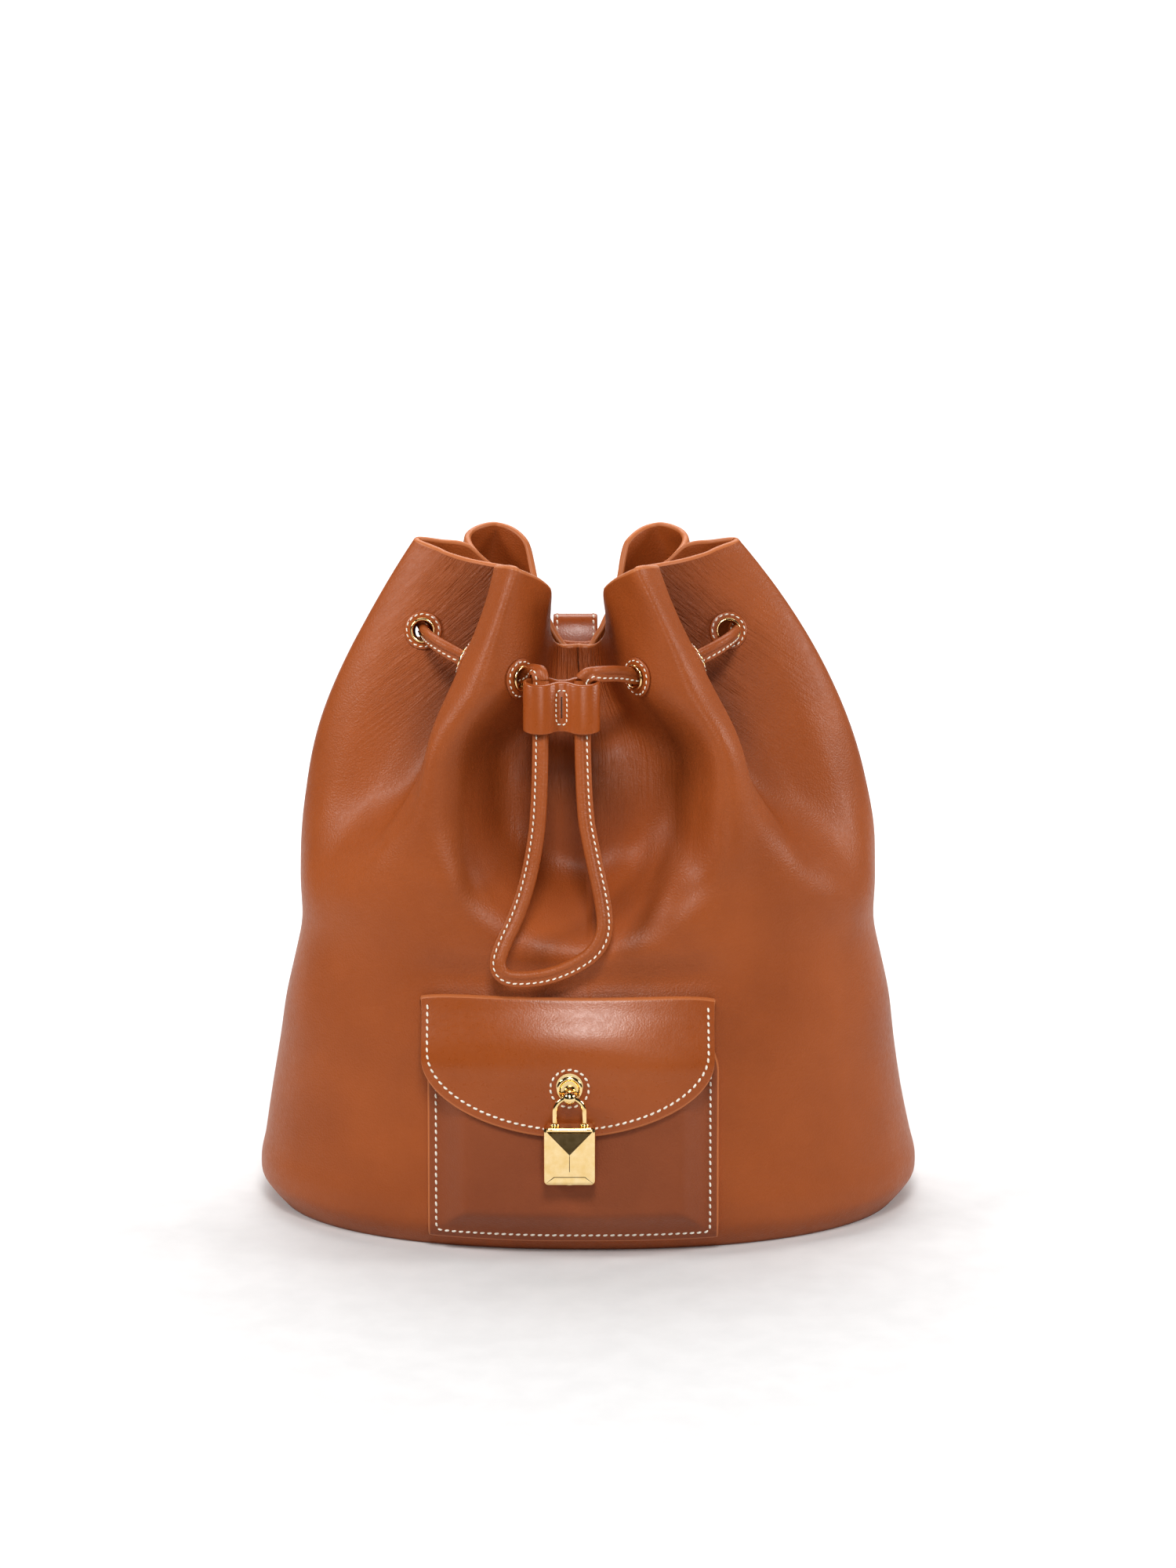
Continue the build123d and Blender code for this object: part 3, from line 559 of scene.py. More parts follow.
def oval(angle, half_width, half_depth):
    """Points of the body's oval."""
    side, fore = np.sin(angle), np.cos(angle)
    power = 2 / OVAL_POWER
    return (-half_width * np.sign(side) * np.abs(side) ** power,
            -half_depth * np.sign(fore) * np.abs(fore) ** power)


def front_half(station):
    """Stations counted from the front middle, negative to the right."""
    return (station + STATIONS / 2) % STATIONS - STATIONS / 2


def bowl_depth(x, z):
    """How far the round hollow between the front ridges lies behind the body's front."""
    below = np.maximum(BOWL_Z - z, 0) / BOWL_HALF_HEIGHT
    from_middle = np.hypot((x - BOWL_X) / BOWL_HALF_WIDTH, below)
    return (BOWL_DEPTH + 0.3 * np.maximum(z - BOWL_Z, 0)) * smoothstep(1.05, 0.5, from_middle)


def plain_outline(widths, depths):
    """The ungathered outline at every level, its stations evenly spaced round it."""
    fine = np.linspace(0, 2 * math.pi, 1441)
    x, y = oval(fine[None], widths, depths)
    steps = np.hypot(np.diff(x), np.diff(y))
    travelled = np.concatenate([np.zeros((len(LEVELS), 1)), np.cumsum(steps, axis=1)], axis=1)
    share = np.arange(STATIONS) / STATIONS
    angles = np.array([np.interp(share * row[-1], row, fine) for row in travelled])
    return oval(angles, widths, depths)


def gather_share(edge, foot):
    """How far each station has moved to its rim place at every level, from 0 to 1."""
    t = np.clip((LEVELS[:, None] - foot) / (edge - foot), 0, 1)
    valley = (1 - (1 - t) ** 1.6) * np.minimum(1, 0.35 + 2.2 * t)
    ridge = t ** 1.9
    ridge_share = np.array([RIDGE_SHARE[s % len(RIDGE_SHARE)] for s in range(STATIONS)])
    return (1 - ridge_share) * valley + ridge_share * ridge


def eased(raw):
    """The outlines, smoothed over the heights where the gather grows."""
    reach = np.arange(-15, 16)
    weights = np.exp(-0.5 * (reach / SMOOTHING) ** 2)
    weights /= weights.sum()
    index = np.clip(np.arange(len(LEVELS))[:, None] + reach, 0, len(LEVELS) - 1)
    smooth = (raw[index] * weights[None, :, None, None]).sum(axis=1)
    mix = smoothstep(*EASE_START, LEVELS) * smoothstep(*EASE_END, LEVELS)
    return raw + (smooth - raw) * mix[:, None, None]


def make_sections():
    """The body's outline at every level: x and y for each station."""
    height = LEVELS[:, None]
    x, y = plain_outline(curve_through(HALF_WIDTH, height), curve_through(HALF_DEPTH, height))
    rim_x, rim_y, edge, foot = np.array([rim_row(s) for s in range(STATIONS)], float).T
    w = gather_share(edge, foot)
    slim = np.zeros(STATIONS)
    for station, amount in RIDGE_SLIM.items():
        slim[station], slim[STATIONS - station] = amount, -amount
    gathered_x = x + (rim_x + MOUTH_SHIFT - x) * w + slim * smoothstep(225, 290, height)
    gathered_y = y + (rim_y - y) * w
    from_front = np.abs(front_half(np.arange(STATIONS)))
    bowl = smoothstep(4.6, 3.2, from_front) * smoothstep(*BOWL_TOP, height)
    raw_x = gathered_x + (x - gathered_x) * bowl
    raw_y = gathered_y + (y + bowl_depth(x, height) - gathered_y) * bowl
    return eased(np.stack([raw_x, raw_y], axis=-1))


SECTIONS = make_sections()


def between_stations(values, station):
    """Values on a smooth curve through one value for each station."""
    first = np.floor(station).astype(int)
    near = (values[(first + k) % STATIONS] for k in (-1, 0, 1, 2))
    return spline_value(*near, station - first)


def edge_height(station):
    """Height of the rim's edge."""
    return between_stations(np.array([rim_row(s)[2] for s in range(STATIONS)], float), station)


def wall(station, z):
    """Points of the body's outside at stations and heights, any of them between two."""
    station, z = np.broadcast_arrays(np.asarray(station, float), np.asarray(z, float))
    first = np.floor(station).astype(int)
    level = np.clip(z, 0, LEVELS[-2])
    low = level.astype(int)
    u = (level - low)[..., None]
    columns = [(first + k) % STATIONS for k in (-1, 0, 1, 2)]
    near = [SECTIONS[low, c] * (1 - u) + SECTIONS[low + 1, c] * u for c in columns]
    flat = spline_value(*near, (station - first)[..., None])
    return np.concatenate([flat, z[..., None]], axis=-1)


def wall_normal(station, z):
    """Directions out of the bag."""
    along = wall(station + 0.12, z) - wall(station - 0.12, z)
    up = wall(station, z + 1.5) - wall(station, np.maximum(z - 1.5, 0))
    return unit(np.cross(up, along))


def crease_places(station, z):
    """Places on the flat leather: how far round, and the same two sheared for the sides."""
    arc = station * STATION_WIDTH
    lean = np.sign(front_half(station)) * z * 0.75
    return arc, arc + lean, z - lean * 0.4


def crease_masks(station, z):
    """Where the leather is finely creased: under the front valley, and on the side panels."""
    front = front_half(station)
    below_edge = edge_height(station) - z
    centre = np.exp(-(front / 1.5) ** 2) * smoothstep(62, 8, below_edge)
    back = np.exp(-((np.abs(front) - 18) / 1.6) ** 2) * smoothstep(60, 10, below_edge)
    sides = np.exp(-((np.abs(front) - 6.6) / 1.7) ** 2) * smoothstep(105, 30, below_edge)
    bowl = 0.5 * np.exp(-(front / 2.2) ** 2) * np.exp(-((z - 205) / 30) ** 2)
    patches = 0.55 + 0.45 * noise(station * 1.3 + 3, z / 22 + 5)
    return np.maximum(centre, np.maximum(back, bowl)), sides * patches


def painted_fold_shade(station, z):
    """Painted shade: where the leather is drawn darker to stand for the shade deep in the side
    valleys and in the front hollow.
    """
    front = front_half(station)
    valley = np.exp(-((np.abs(front) - 6.2) / 0.8) ** 2) * smoothstep(170, 240, z)
    flank = 0.7 * np.exp(-((np.abs(front) - 2.2) / 0.6) ** 2) * np.exp(-((z - 215) / 32) ** 2)
    dent = 0.9 * np.exp(-(front / 1.0) ** 2) * np.exp(-((z - 200) / 16) ** 2)
    return np.maximum(valley, np.maximum(flank, dent))


def relief(station, z):
    """Soft sculpting of the leather: the hollow above the flap, seams, sags and creases."""
    front = front_half(station)
    x = wall(station, z)[..., 0]
    facing = smoothstep(8, 6, np.abs(front))
    hollow = -3.2 * facing * np.exp(-((z - 123) / 8) ** 2) * smoothstep(78, 48, np.abs(x + 8))
    seam = np.zeros_like(x)
    for at in SEAMS:
        seam -= 0.8 * np.exp(-((station - at) * STATION_WIDTH / 1.1) ** 2)
    sag = 0.9 * noise(station * 0.55, z / 55) * smoothstep(4, 40, z)
    up, side = crease_masks(station, z)
    arc, leaning_arc, leaning_z = crease_places(station, z)
    folds = 0.55 * up * noise(arc / 4.2, z / 26)
    folds += 0.45 * side * noise(leaning_arc / 5.0 + 40, leaning_z / 24)
    return hollow + seam + sag + folds


def skin(station, z, offset=0.0):
    """Points at a distance from the sculpted outside."""
    station, z = np.broadcast_arrays(np.asarray(station, float), np.asarray(z, float))
    return wall(station, z) + wall_normal(station, z) * (relief(station, z) + offset)[..., None]


def local_frame(station, z):
    """Centre, two tangents and the normal of the surface at one place."""
    centre = skin(station, z)
    normal = wall_normal(np.array(station), np.array(z))
    level = unit(np.cross((0, 0, 1.0), normal))
    return centre, level, np.cross(normal, level), normal


def on_skin(station, z, right, up, offset):
    """Points of the surface that lie right and up of a place, in its tangent plane."""
    centre, across, rising, _ = local_frame(station, z)
    s = np.full(np.shape(right), float(station))
    h = np.full(np.shape(right), float(z))
    step = 0.05
    for _ in range(6):
        here = wall(s, h)
        by_s = (wall(s + step, h) - here) / step
        by_h = (wall(s, h + 1) - here)
        miss_a = right - ((here - centre) * across).sum(-1)
        miss_b = up - ((here - centre) * rising).sum(-1)
        a, b = (by_s * across).sum(-1), (by_h * across).sum(-1)
        c, d = (by_s * rising).sum(-1), (by_h * rising).sum(-1)
        size = a * d - b * c
        size = np.where(np.abs(size) < 1e-3, 1e-3, size)
        s = s + np.clip((d * miss_a - b * miss_b) / size, -0.3, 0.3)
        h = h + np.clip((a * miss_b - c * miss_a) / size, -6, 6)
    return skin(s, h, offset), wall_normal(s, h)


def cut(target, parts):
    """Cuts the closed parts out of a closed mesh."""
    cutter = piece("cutter", *merged(parts), [], None, None)
    modifier = target.modifiers.new("cut", "BOOLEAN")
    modifier.object = cutter
    modifier.operation = "DIFFERENCE"
    modifier.solver = "MANIFOLD"
    view = bpy.context.evaluated_depsgraph_get()
    result = bpy.data.meshes.new_from_object(target.evaluated_get(view), depsgraph=view)
    target.modifiers.clear()
    target.data = result
    bpy.data.objects.remove(cutter)


def store_masks(mesh, station, z):
    """The creases' places and strengths and the folds' painted shade, for the leather's nodes."""
    arc, leaning_arc, leaning_z = crease_places(station, z)
    for name, u, v in (("grain_place", arc, z), ("slant_place", leaning_arc, leaning_z)):
        flat = np.stack([u, v, np.zeros_like(u)], -1).reshape(-1)
        mesh.attributes.new(name, "FLOAT_VECTOR", "POINT").data.foreach_set("vector", flat)
    up, side = crease_masks(station, z)
    # painted shade for the deep folds and the front hollow
    painted_shade = painted_fold_shade(station, z)
    for name, mask in (("crease_up", up), ("crease_side", side), ("painted_fold_shade", painted_shade)):
        mesh.attributes.new(name, "FLOAT", "POINT").data.foreach_set("value", mask.reshape(-1))


def add_body():
    """The leather body: outside, rounded doubled rim and inside, as one closed shell."""
    station = np.arange(COLUMNS) * STATIONS / COLUMNS
    edge = edge_height(station)
    outer_z = np.linspace(0, 1, ROWS)[:, None] * edge
    outer = skin(station[None], outer_z)
    facing_z = edge + np.linspace(0, 1, 40)[:, None] * (FACING_END - edge)
    rest_z = np.concatenate([[FACING_END - 0.8], np.linspace(FACING_END - 4, 0, 60)])[:, None]
    inner_z = np.concatenate([facing_z, np.repeat(rest_z, COLUMNS, 1)])
    thickness = LEATHER + FACING * smoothstep(FACING_END - 0.7, FACING_END - 0.1, inner_z)
    inner = skin(station[None], inner_z, -thickness)
    inner[..., 2] = np.maximum(inner[..., 2], 0.4)
    top, under = outer[-1], inner[0]
    rising = unit(outer[-1] - outer[-3])
    half = np.linalg.norm(top - under, axis=-1, keepdims=True) / 2
    cap = [(top + under) / 2 + (top - under) / 2 * math.cos(a) + rising * half * math.sin(a)
           for a in np.linspace(0, math.pi, 9)[1:-1]]
    rows = np.concatenate([outer, np.array(cap), inner])
    faces = grid_faces(len(rows), COLUMNS, True, True)
    kinds = np.repeat([0, 1, 0], [(ROWS - 1) * COLUMNS, 8 * COLUMNS, len(inner) * COLUMNS])
    made = piece("body_leather", rows.reshape(-1, 3), faces, [body_leather, edge_paint], "bag",
                 "body_leather", ["front_panel", "back_panel"], kinds)
    heights = np.concatenate([outer_z, np.repeat(edge[None], len(cap), 0), inner_z])
    store_masks(made.data, np.repeat(station[None], len(rows), 0), heights)
    holes = []
    for at, z in EYELETS:
        centre, _, _, normal = local_frame(at, z)
        holes.append(pin(centre, normal, EYELET_HOLE, 12))
    cut(made, holes)


def add_lining():
    """The lining: a thin closed skin inside the leather."""
    columns = COLUMNS // 2
    station = np.arange(columns) * STATIONS / columns
    z = np.repeat(np.linspace(BOARD_TOP, FACING_END - 1.5, 90)[:, None], columns, 1)
    far = skin(station[None], z, -LEATHER - LINING_FAR)
    near = skin(station[None], z, -LEATHER - LINING_NEAR)
    rows = np.concatenate([far, near[::-1]])
    piece("lining_wall", rows.reshape(-1, 3), grid_faces(len(rows), columns, True, True),
          [lining_cloth], "bag", "lining", ["front_lining", "back_lining"])


def oval_plate(name, low, high, inset, rounding, material, slot, replaces, crown=0.0):
    """A flat oval with a rounded edge, its top a little crowned."""
    turn = full_turn(240)

    def ring(inset_here, z):
        x, y = oval(turn, HALF_WIDTH[0][1] - inset_here, HALF_DEPTH[0][1] - inset_here)
        return np.stack([x, y, np.full_like(x, z)], 1)

    middle, half = (low + high) / 2, (high - low) / 2
    rings = [ring(inset + rounding, low)]
    for along in np.linspace(-math.pi / 2, math.pi / 2, 7):
        rings.append(ring(inset + rounding - rounding * math.cos(along),
                          middle + half * math.sin(along)))
    for step in (20, 45, 65, 80):
        rings.append(ring(inset + step, high + crown * min(1, step / 60)))
    piece(name, np.concatenate(rings), tube_faces(len(rings), len(turn)), [material], "bag", slot,
          replaces)


def add_base():
    """Base leather with its stitched edge, and the covered board inside."""
    oval_plate("base_leather", 0.0, BASE_THICKNESS, BASE_INSET, 0.9, body_leather,
               "body_leather", ["base_panel"])
    oval_plate("board_cover", BOARD_LOW, BOARD_TOP, BOARD_INSET, 1.2, lining_cloth, "lining",
               ["base_board"], crown=0.6)
    x, y = oval(full_turn(400), HALF_WIDTH[0][1] - BASE_SEAM, HALF_DEPTH[0][1] - BASE_SEAM)
    path = np.stack([x, y, np.full_like(x, 0.25)], 1)
    points, faces = stitch_row(path, (0, 0, -1.0), closed=True, radius=0.3)
    points[:, 2] = np.maximum(points[:, 2], 0.02)
    sew("base_stitches", [(points, faces)])


# ---- Eyelets ----
EYELET_PROFILE = [
    (4.4, -4.0), (4.35, -2.0), (4.35, 1.0), (4.42, 1.6), (4.65, 2.0), (5.0, 2.15), (5.3, 2.1),
    (5.6, 1.85), (5.7, 1.5), (5.5, 1.25), (5.0, 1.2), (4.95, -1.0), (4.95, -3.3), (5.9, -3.45),
    (6.05, -3.8), (5.8, -4.15), (5.1, -4.35),
]


# Leather ring round an eyelet: radius and height over the leather
EYELET_RING = [(5.0, 1.2), (5.3, 1.2), (6.3, 1.2), (7.4, 1.2), (8.2, 1.1), (8.5, 0.8),
               (PATCH_RADIUS, 0.0), (5.0, -0.1)]
EYELET_SEAM = 7.3              # radius of the stitches on it


def skin_circle(station, z, radius, offset):
    """Points of a circle on the surface round a place, and the directions out of it."""
    turn = full_turn(64)
    return on_skin(station, z, radius * np.cos(turn), radius * np.sin(turn), offset)


def add_eyelets():
    """Metal eyelets, each between two stitched leather rings."""
    rings, washers, stitches = [], [], []
    for number, (station, z) in enumerate(EYELETS, start=1):
        centre, _, _, normal = local_frame(station, z)
        piece(f"grommet_{number:02d}", *revolved(EYELET_PROFILE, centre, normal), [gold], "bag",
              "gold_metal", [f"eyelet_{number:02d}"])
        for side, ground, group in ((1, 0.0, rings), (-1, -LEATHER - FACING, washers)):
            layers = [skin_circle(station, z, radius, ground + side * height)[0]
                      for radius, height in EYELET_RING]
            faces = grid_faces(len(layers), len(layers[0]), True, True)
            group.append((np.concatenate(layers), faces))
            seam, out = skin_circle(station, z, EYELET_SEAM, ground + side * 1.2)
            stitches.append(stitch_row(seam, out * side, **EYELET_THREAD, closed=True))
    piece("grommet_rings", *merged(rings), [trim_leather], "bag", "trim_leather", ["eyelet_rings"])
    piece("grommet_washers", *merged(washers), [trim_leather], "bag", "trim_leather",
          ["eyelet_washers"])
    sew("grommet_stitches", stitches)


# ---- Drawstring: a piped cord, a round bead with a stitched flat edge ----
def route_points(name, route):
    """Points of the smooth line that the cord follows, from a NURBS spline of its route."""
    line = bpy.data.curves.new(name, "CURVE")
    line.dimensions = "3D"
    line.resolution_u = 16
    spline = line.splines.new("NURBS")
    spline.points.add(len(route) - 1)
    for point, (x, y, z) in zip(spline.points, route):
        point.co = (x * MM, y * MM, z * MM, 1)
    spline.order_u = 3
    spline.use_endpoint_u = True
    made = bpy.data.objects.new(name, line)
    bpy.context.scene.collection.objects.link(made)
    view = bpy.context.evaluated_depsgraph_get()
    mesh = bpy.data.meshes.new_from_object(made.evaluated_get(view), depsgraph=view)
    points = np.array([vertex.co for vertex in mesh.vertices]) / MM
    bpy.data.objects.remove(made)
    keep = np.concatenate([[True], np.linalg.norm(np.diff(points, axis=0), axis=1) > 1e-4])
    return points[keep]


def cord_profile():
    """Bead on one side, stitched flat edge on the other, with its middle at the origin."""
    middle = -CORD_WIDTH / 2 + BEAD_RADIUS
    outline = []
    for step in range(17):
        angle = math.radians(32 + (360 - 64) * step / 16)
        outline.append((middle + BEAD_RADIUS * math.cos(angle), BEAD_RADIUS * math.sin(angle)))
    end = CORD_WIDTH / 2
    outline += [(middle + 2.2, -EDGE_HALF), (end - 0.7, -EDGE_HALF), (end - 0.2, -0.65),
                (end, 0.0), (end - 0.2, 0.65), (end - 0.7, EDGE_HALF), (middle + 2.2, EDGE_HALF)]
    return outline


def cord_piece(name, node, path, across):
    """The cord's leather and its stitches."""
    made = piece(name, *sweep(path, across, cord_profile()), [cord_leather], "bag",
                 "cord_leather", [node])
    tangent = unit(np.gradient(path, axis=0))
    flat = squared(across, tangent)
    over = np.cross(tangent, flat)
    seam = path + flat * (CORD_WIDTH / 2 - CORD_SEAM)
    stitches = sew(name + "_stitches", [
        stitch_row(seam + over * side * EDGE_HALF, over * side, **CORD_THREAD)
        for side in (1, -1)])


def add_cords():
    """The loop that hangs from the slider, and the ring that runs through the eyelets."""
    loop = route_points("loop_line", LOOP_ROUTE)
    outwards = np.cross(unit(np.gradient(loop, axis=0)), (0.0, -0.985, 0.17))
    cord_piece("cord_loop", "drawstring_loop", loop, outwards)
    ring = route_points("ring_line", RING_ROUTE)
    travelled = distance_along(ring)
    from_left = smoothstep(2, 16, travelled)[:, None]
    from_right = smoothstep(2, 16, travelled[-1] - travelled)[:, None]
    down, left = np.array([0, 0, -1.0]), np.array([-1.0, 0, 0])
    flange = down * np.minimum(from_left, from_right) + left * (from_right - from_left)
    cord_piece("cord_ring", "drawstring_ring", ring, flange)


# ---- Slider: one leather band wrapped round both legs, pinched and stitched in the middle ----
SLIDER_QUARTER = [(0, 1.15), (1.6, 1.25), (3.4, 2.0), (5.6, 3.7), (8.6, 4.75), (12.2, 4.2),
                  (15.0, 2.2)]
SLIDER_END = 15.9              # half of its whole width
BAND_THICKNESS = 1.9
SLIDER_BACK = np.array([0, math.cos(LEG_LEAN), -math.sin(LEG_LEAN)])
SLIDER_DOWN = -np.array([0, math.sin(LEG_LEAN), math.cos(LEG_LEAN)])


def slanted(points):
    """The slider's points with its front moved down and its back moved up."""
    depth = (np.asarray(points) - SLIDER_TOP) @ SLIDER_BACK
    return points - SLIDER_SLANT * depth[:, None] * SLIDER_DOWN


def slider_place(x, y, h):
    """A point of the slider: x across, y backwards, h down from its top."""
    x, y, h = (each[..., None] for each in np.broadcast_arrays(x, y, h))
    return SLIDER_TOP + x * np.array([1.0, 0, 0]) + y * SLIDER_BACK + h * SLIDER_DOWN


def add_slider():
    """The slider's band, its stitched box and the slot line in it, a near-black strip of painted
    shade.
    """
    half = SLIDER_QUARTER + [(SLIDER_END, 0)] + [(x, -y) for x, y in reversed(SLIDER_QUARTER[1:])]
    line = spline_points(half + [(-x, -y) for x, y in half], 120, closed=True)
    middle = SLIDER_LENGTH / 2
    path = slider_place(line[:, 0], line[:, 1], middle)
    profile = rounded_box(middle, BAND_THICKNESS / 2, 0.8)
    points, faces = sweep(path, SLIDER_DOWN, profile, closed=True)
    piece("slider_band", slanted(points), faces, [trim_leather], "slider", "trim_leather",
          ["cord_slider"])
    front = line[line[:, 1] < 0]
    front = front[np.argsort(front[:, 0])]
    x, h = soft_box(2.4, 7.4, middle, 0.45, 80)
    depth = np.interp(x, front[:, 0], front[:, 1]) - 0.97
    rows = [stitch_row(slider_place(x, side * depth, h), -side * SLIDER_BACK, **SLIDER_THREAD,
                       closed=True) for side in (1, -1)]
    points, faces = merged(rows)
    sew("slider_stitches", [(slanted(points), faces)], "slider")
    # the slot line is a thin strip of painted shade
    slot_line = slider_place(0.0, -2.12, np.linspace(middle - 4.6, middle + 4.6, 12))
    points, faces = sweep(slot_line, (1.0, 0, 0), rounded_box(0.3, 0.1, 0.08))
    piece("slider_slot", slanted(points), faces, [slot_painted_shade], "slider", "trim_leather")


# ---- Pocket and flap ----
POCKET_LEFT, POCKET_RIGHT = -70.0, 56.8
POCKET_BOTTOM, POCKET_TOP = 7.0, 99.0
POCKET_THICKNESS = 1.8
POCKET_CORNER = 2.5            # radius of its row of stitches in the lower corners
FORWARDS = (0, -1.0, 0)
FLAP_LEFT, FLAP_RIGHT = -73.0, 55.2
FLAP_TOP, FLAP_CORNER, FLAP_BOTTOM = 115.0, 90.0, 58.0
FLAP_THICKNESS = 2.4           # leather and lining
STUD_HEIGHT, STUD_SEAM = 79.0, 8.3
FLAP_STANDOFF = [(58, 10.9), (80, 10.9), (90, 10.6), (98, 8.8), (104, 6.2), (110, 3.2),
                 (115, 1.2)]


def front_of_body(x, z):
    """Y of the ungathered front of the body."""
    width, depth = curve_through(HALF_WIDTH, z), curve_through(HALF_DEPTH, z)
    return -depth * (1 - np.abs(x / width) ** OVAL_POWER) ** (1 / OVAL_POWER)


def front_point(x, z, off):
    """A point in front of the body."""
    return np.stack([x, front_of_body(x, z) - off, z], axis=-1)


def pocket_off(x, z):
    """How far the pocket's inside stands off the body."""
    from_edge = np.minimum(np.minimum(x - POCKET_LEFT, POCKET_RIGHT - x), z - POCKET_BOTTOM) - 4.0
    mouth = smoothstep(78, 99, z)
    crown = 8.0 - 3.0 * mouth
    return 0.35 + crown * smoothstep(0, 13, from_edge) + 0.35 * noise(x / 26, z / 24)


def pocket_seam():
    """X and z of the pocket's row of stitches: down the left, along the bottom, up the right."""
    inset = 3.0
    left, right, low = POCKET_LEFT + inset, POCKET_RIGHT - inset, POCKET_BOTTOM + inset
    corner = POCKET_CORNER
    left_half = [(left, z) for z in np.linspace(POCKET_TOP - 2, low + corner, 60)]
    left_half += [(left + corner * (1 - math.cos(a)), low + corner * (1 - math.sin(a)))
                  for a in np.linspace(0, math.pi / 2, 6)[1:]]
    bottom = [(x, low) for x in np.linspace(left + corner, right - corner, 80)[1:-1]]
    right_half = [(left + right - x, z) for x, z in reversed(left_half)]
    return np.array(left_half + bottom + right_half).T


def add_pocket():
    """The patch pocket, its edge stitched to the body on three sides."""
    x = np.linspace(POCKET_LEFT, POCKET_RIGHT, 100)[None, :]
    z = np.linspace(POCKET_BOTTOM, POCKET_TOP, 76)[:, None]
    x, z = np.broadcast_arrays(x, z)
    x = x - 3.0 * smoothstep(POCKET_RIGHT - 20, POCKET_RIGHT, x) * smoothstep(82, 96, z)
    off = pocket_off(x, z)
    points, faces, kinds = slab(front_point(x, z, off + POCKET_THICKNESS), front_point(x, z, off))
    # the pocket's darker colour is partly painted shade
    piece("pocket_panel_leather", points, faces, [pocket_calf_tone_and_shade, edge_paint, lining_cloth], "bag",
          "body_leather", ["pocket_panel"], kinds)
    x, z = pocket_seam()
    seam = front_point(x, z, pocket_off(x, z) + POCKET_THICKNESS)
    sew("pocket_stitches", [stitch_row(seam, FORWARDS)])


def flap_low(x):
    """Height of the flap's curved lower edge."""
    middle, half = (FLAP_LEFT + FLAP_RIGHT) / 2, (FLAP_RIGHT - FLAP_LEFT) / 2
    across = np.clip(np.abs((x - middle) / half), 0, 1)
    return FLAP_CORNER - (FLAP_CORNER - FLAP_BOTTOM) * (1 - across ** 1.85) ** 0.5


def flap_off(x, z):
    """How far the flap's lining stands off the body."""
    wave = 1.1 * np.sin((x + 40) / 21.0) * np.exp(-((z - 101) / 9) ** 2)
    return curve_through(FLAP_STANDOFF, z) + wave


def flap_point(x, z, off):
    """A point of the flap; its top edge turns back to the body."""
    return front_point(x, z, flap_off(x, z) + off)


def flap_seam(middle, half):
    """X and z of the flap's row of stitches: down the left, round the bottom, up the right."""
    inset = 2.6
    angle = np.linspace(0, math.pi, 160)
    low = flap_low(middle - (half - 0.01) * np.cos(angle)) + inset
    bottom = np.stack([-(half - inset) * np.cos(angle), low], 1)
    side = np.stack([np.full(20, inset - half), np.linspace(FLAP_TOP - 3.5, low[0], 20)], 1)
    x, z = np.concatenate([side, bottom[1:-1], side[::-1] * (-1, 1)]).T
    return middle + x, z


def add_flap():
    """The flap: leather on a thin lining, painted edge, stitches and the stud's grommet."""
    middle, half = (FLAP_LEFT + FLAP_RIGHT) / 2, (FLAP_RIGHT - FLAP_LEFT) / 2
    x = (middle - half * np.cos(np.linspace(0, math.pi, 121)))[None, :]
    low = flap_low(x)
    edge = FLAP_TOP - 1.8 * np.abs((x - middle) / half) ** 8
    z = low + np.linspace(0, 1, 60)[:, None] * (edge - low)
    x, z = np.broadcast_arrays(x, z)
    points, faces, kinds = slab(flap_point(x, z, FLAP_THICKNESS), flap_point(x, z, 0.0))
    piece("flap_leather", points, faces, [trim_leather, edge_paint, lining_cloth], "flap",
          "body_leather", ["pocket_flap", "flap_lining"], kinds)
    turn = full_turn(60)
    seam = flap_point(*flap_seam(middle, half), FLAP_THICKNESS)
    ring = flap_point(POCKET_X + STUD_SEAM * np.cos(turn), STUD_HEIGHT + STUD_SEAM * np.sin(turn),
                      FLAP_THICKNESS)
    sew("flap_stitches", [stitch_row(seam, FORWARDS),
                          stitch_row(ring, FORWARDS, pitch=2.9, length=2.1, closed=True)], "flap")
    seat = flap_point(np.array(POCKET_X), np.array(STUD_HEIGHT), FLAP_THICKNESS + 1.0)
    profile = [(4.7 + 1.05 * math.cos(a), 0.9 * math.sin(a)) for a in full_turn(16)]
    piece("stud_grommet", *revolved(profile, seat, (0, -1.0, 0.02)), [gold], "flap", "gold_metal")


# ---- Padlock ----
CASE_WIDTH, CASE_HEIGHT, CASE_TOP = 22.5, 26.0, 64.5
CASE_FRONT = 3.9               # from the middle of the case to its front
SHACKLE_HALF = 6.4             # from the middle to each leg of the shackle
UP = (0, 0, 1.0)
# The case's outlines from back to front: y from its middle, and how far each is drawn in
CASE_LAYERS = ((4.0, 0.9), (3.7, 0.35), (3.2, 0.0), (-3.0, 0.0), (-3.6, 0.3), (-3.9, 0.8))


def lock_piece(name, shape, finish, flat=False):
    """A piece on the padlock, its points given as x, y from the case's front, and height."""
    points, faces = shape
    points = np.array([EYE[0], EYE[1] - CASE_FRONT, 0]) + points
    made = piece(name, points, faces, [finish], "padlock", "gold_metal")
    if flat:
        made.data.shade_flat()


